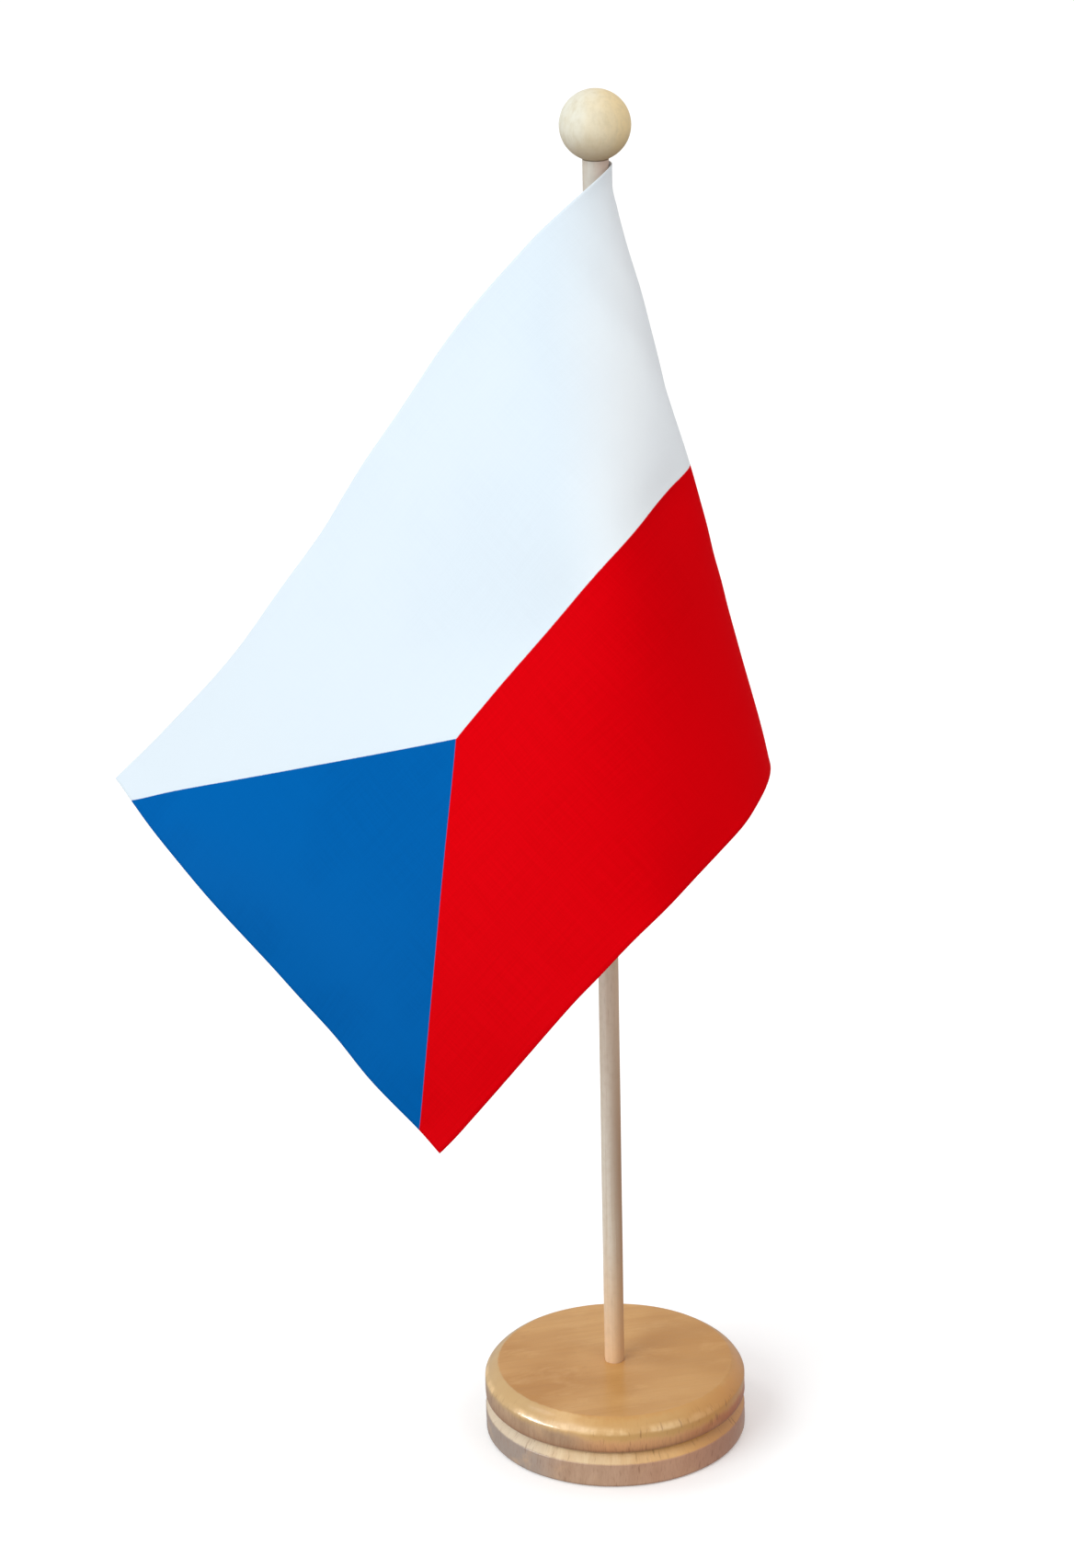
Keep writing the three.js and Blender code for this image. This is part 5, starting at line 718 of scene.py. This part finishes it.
    [-141.63, -10.04, 219.43, -140.11, -12.45, 218.52, -138.69, -14.92, 217.69, -136.92, -18.29, 216.69, -134.42, -23.44, 215.32, -131.03, -30.17, 213.32, -126.87, -36.04, 210.35, -122.24, -41.22, 206.85, -117.60, -46.33, 203.23, -113.00, -51.41, 199.52, -108.27, -56.24, 195.67, -103.35, -60.74, 191.65, -98.22, -64.90, 187.48, -92.99, -68.86, 183.24, -87.87, -72.92, 178.95, -82.86, -77.08, 174.62, -77.88, -81.22, 170.25, -72.89, -85.28, 165.83, -67.87, -89.21, 161.34, -62.72, -92.85, 156.77, -57.44, -96.14, 152.11, -52.01, -99.00, 147.38, -46.84, -102.00, 142.56],
]
knots = np.array(SHEET, float).reshape(len(ROW_S), len(COL_T), 3)
fine_s = np.r_[np.arange(0, 12, 0.6), np.arange(12, 30, 1.0), np.linspace(30, 240, 169)]
fine_t = np.r_[np.arange(0, 12, 0.8), np.linspace(12, 160, 119)]
MS, MT = spline_matrix(ROW_S, fine_s), spline_matrix(COL_T, fine_t)
mid = np.einsum("ai,bj,ijk->abk", MS, MT, knots)
NI, NJ = len(fine_s), len(fine_t)


def normals_of(p):
    du = np.gradient(p, axis=0)
    dv = np.gradient(p, axis=1)
    n = np.cross(du, dv)
    return n / np.linalg.norm(n, axis=2, keepdims=True)


S, T = np.meshgrid(fine_s, fine_t, indexing="ij")
nrm = normals_of(mid)
# slack that a hung sheet keeps: shallow flutes that fan out from the upper hoist corner, and a soft ripple along the free edges
reach = np.hypot(S, T)
fan = np.degrees(np.arctan2(T, S + 1e-6))
flute = 0.35 * np.sin(fan * 0.21 + 0.6) + 0.20 * np.sin(fan * 0.37 + 2.0)
flute *= np.clip((reach - 40) / 120, 0, 1) ** 1.5
edge_fly = np.exp(-(240 - S) / 7.0) * np.sin(T * 0.155 + 0.8 * np.sin(T * 0.05))
edge_low = np.exp(-(160 - T) / 6.0) * np.sin(S * 0.14 + 1.1 * np.sin(S * 0.037)) * np.clip((S - 25) / 30, 0, 1)
edge_top = np.exp(-T / 6.0) * np.sin(S * 0.12 + 0.9 * np.sin(S * 0.041)) * np.clip((S - 30) / 40, 0, 1)
ripple = 0.30 * edge_fly + 0.26 * edge_low + 0.22 * edge_top
mid = mid + nrm * (flute + ripple)[..., None]
# close to the pole the sheet is drawn down on to its sleeve
rr = np.hypot(mid[..., 0], mid[..., 1])
near = (S < 12.0) & (rr < 6.0)
want = np.where(near, 4.36 + (rr - 5.0).clip(0) * 1.6, rr)
k = np.where(near, np.clip((12.0 - S) / 6.0, 0, 1), 0)
k = k * k * (3 - 2 * k)
f = 1 + k * (want / rr - 1)
mid[..., 0] *= f
mid[..., 1] *= f
mid[..., 2] += 1.2 * np.exp(-((S / 15) ** 2)) * np.exp(-((T / 14) ** 2))
nrm = normals_of(mid)
# thickness: a thin weave whose heat-cut edges are melted into a slightly thicker bead
to_edge = np.minimum(np.minimum(240 - S, T), 160 - T)
half = 0.11 + 0.07 * np.exp(-((to_edge / 0.9) ** 2))


def cloth_solid(name, mid, nrm, half, S, T):
    """A closed thin sheet: two skins, and a rim that is rounded by a middle row."""
    ni, nj = mid.shape[:2]
    a, b = mid + nrm * half[..., None], mid - nrm * half[..., None]
    verts = np.concatenate([a.reshape(-1, 3), b.reshape(-1, 3)])
    uv = np.concatenate([np.stack([S, T], -1).reshape(-1, 2)] * 2)
    n = ni * nj
    ids = np.arange(n).reshape(ni, nj)
    faces = []
    q = np.stack([ids[:-1, :-1], ids[1:, :-1], ids[1:, 1:], ids[:-1, 1:]], -1).reshape(-1, 4)
    faces += [tuple(f) for f in q.tolist()]
    faces += [tuple(f) for f in (q[:, ::-1] + n).tolist()]
    ring = [(i, 0) for i in range(ni)] + [(ni - 1, j) for j in range(1, nj)] + [(i, nj - 1) for i in range(ni - 2, -1, -1)] + [(0, j) for j in range(nj - 2, 0, -1)]
    rim, rim_uv = [], []
    for i, j in ring:
        out = np.zeros(3)
        if i == 0:
            out += mid[0, j] - mid[1, j]
        if i == ni - 1:
            out += mid[-1, j] - mid[-2, j]
        if j == 0:
            out += mid[i, 0] - mid[i, 1]
        if j == nj - 1:
            out += mid[i, -1] - mid[i, -2]
        rim.append(mid[i, j] + out / np.linalg.norm(out) * half[i, j] * 0.9)
        rim_uv.append((S[i, j], T[i, j]))
    base_i = len(verts)
    verts = np.concatenate([verts, np.array(rim)])
    uv = np.concatenate([uv, np.array(rim_uv)])
    k = len(ring)
    for r in range(k):
        s = (r + 1) % k
        fa, fb = ids[ring[r]], ids[ring[s]]
        faces.append((int(fb), int(fa), base_i + r, base_i + s))
        faces.append((base_i + s, base_i + r, int(fa + n), int(fb + n)))
    o = add_mesh(name, verts * MM, faces)
    layer = o.data.uv_layers.new(name="flat")
    loops = np.zeros(len(o.data.loops), np.int32)
    o.data.loops.foreach_get("vertex_index", loops)
    layer.data.foreach_set("uv", (uv[loops] * MM).astype(np.float32).ravel())
    return o


cloth_mat = printed_cloth("printed_polyester")
cloth = cloth_solid("flag", mid, nrm, half, S, T)
cloth.data.materials.append(cloth_mat)
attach(cloth, "flag")
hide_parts("flag_cloth")

# sleeve: the hoist's own cloth, folded round the pole. Its mouth is cut on a slant and its foot is level.
slo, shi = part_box("flag_sleeve")
sleeve_low, sleeve_high = 384.5, shi.z / MM - 1.5
sleeve_foot = slo.z / MM
n_a, n_z = 72, 120
ang = np.linspace(0, 2 * math.pi, n_a, endpoint=False)
rows = []
for i in range(n_a):
    x = math.cos(ang[i])
    mouth = sleeve_low + (sleeve_high - sleeve_low) * (0.5 * x + 0.5)
    zz = np.linspace(sleeve_foot, mouth, n_z)
    wave = 0.05 * np.sin(zz * 0.11 + 2 * ang[i]) + 0.04 * np.sin(zz * 0.23 - 3 * ang[i])
    rows.append(np.stack([(4.04 + wave) * math.cos(ang[i]), (4.04 + wave) * math.sin(ang[i]), zz], -1))
tube = np.array(rows)


def sleeve_solid(name, tube, half):
    ni, nj = tube.shape[:2]
    radial = tube.copy()
    radial[..., 2] = 0
    radial /= np.linalg.norm(radial, axis=2, keepdims=True)
    a, b = tube + radial * half, tube - radial * half
    n = ni * nj
    lip0, lip1 = tube[:, 0] - np.array([0, 0, half * 0.8]), tube[:, -1] + np.array([0, 0, half * 0.8])
    verts = np.concatenate([a.reshape(-1, 3), b.reshape(-1, 3), lip0, lip1])
    o0, o1 = 2 * n, 2 * n + ni
    ids = np.arange(n).reshape(ni, nj)
    faces = []
    for i in range(ni):
        k = (i + 1) % ni
        for j in range(nj - 1):
            faces.append((int(ids[i, j]), int(ids[k, j]), int(ids[k, j + 1]), int(ids[i, j + 1])))
            faces.append((int(ids[i, j + 1]) + n, int(ids[k, j + 1]) + n, int(ids[k, j]) + n, int(ids[i, j]) + n))
        faces.append((int(ids[k, 0]), int(ids[i, 0]), o0 + i, o0 + k))
        faces.append((o0 + k, o0 + i, int(ids[i, 0]) + n, int(ids[k, 0]) + n))
        faces.append((int(ids[i, -1]), int(ids[k, -1]), o1 + k, o1 + i))
        faces.append((o1 + i, o1 + k, int(ids[k, -1]) + n, int(ids[i, -1]) + n))
    o = add_mesh(name, verts * MM, faces)
    layer = o.data.uv_layers.new(name="flat")
    loops = np.zeros(len(o.data.loops), np.int32)
    o.data.loops.foreach_get("vertex_index", loops)
    v = verts[loops]
    s = -np.mod(np.arctan2(v[:, 1], v[:, 0]) - math.pi / 2, 2 * math.pi) * 4.04
    layer.data.foreach_set("uv", (np.stack([s, 394.0 - v[:, 2]], -1) * MM).astype(np.float32).ravel())
    return o


sleeve = sleeve_solid("flag_hoist_sleeve", tube, 0.13)
sleeve.data.materials.append(cloth_mat)
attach(sleeve, "flag")
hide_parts("flag_sleeve")

# stitching: two rows of lockstitch where the sheet laps on to the sleeve
thread_v, thread_f = [], []


def stitch(p0, p1, out, r=0.13, lift=0.05):
    """One lockstitch: a short length of thread that dips in at both ends."""
    p0, p1, out = np.array(p0), np.array(p1), np.array(out)
    d = p1 - p0
    side = np.cross(d / np.linalg.norm(d), out)
    start = len(thread_v)
    ks, segs = 7, 6
    for i in range(ks):
        u = i / (ks - 1)
        h = lift + 0.10 * math.sin(math.pi * u) - 0.12 * (abs(2 * u - 1) ** 4)
        c = p0 + d * u + out * h
        w = r * (1 - 0.55 * abs(2 * u - 1) ** 5)
        for k in range(segs):
            a = 2 * math.pi * k / segs
            thread_v.append(c + (side * math.cos(a) + out * math.sin(a)) * w)
    for i in range(ks - 1):
        for k in range(segs):
            n = (k + 1) % segs
            thread_f.append((start + i * segs + k, start + (i + 1) * segs + k, start + (i + 1) * segs + n, start + i * segs + n))
    thread_f.append(tuple(start + k for k in range(segs)))
    thread_f.append(tuple(start + (ks - 1) * segs + k for k in reversed(range(segs))))


for s_line in (1.5, 4.2):
    i = int(np.argmin(abs(fine_s - s_line)))
    row, rn, rt = mid[i], nrm[i], half[i]
    zpos = 1.2
    while zpos + 2.4 < 159.0:
        a = np.array([np.interp(zpos, fine_t, row[:, c]) for c in range(3)])
        b = np.array([np.interp(zpos + 2.3, fine_t, row[:, c]) for c in range(3)])
        n = np.array([np.interp(zpos, fine_t, rn[:, c]) for c in range(3)])
        n /= np.linalg.norm(n)
        radial = np.array([a[0], a[1], 0.0])
        if n @ radial < 0:
            n = -n
        h = np.interp(zpos, fine_t, rt)
        stitch(a + n * h, b + n * h, n)
        zpos += 2.9
threads = add_mesh("hoist_stitching", np.array(thread_v) * MM, thread_f)
threads.data.materials.append(thread_material("white_thread", rgb(238, 240, 240), rgb(214, 218, 222)))
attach(threads, "flag")
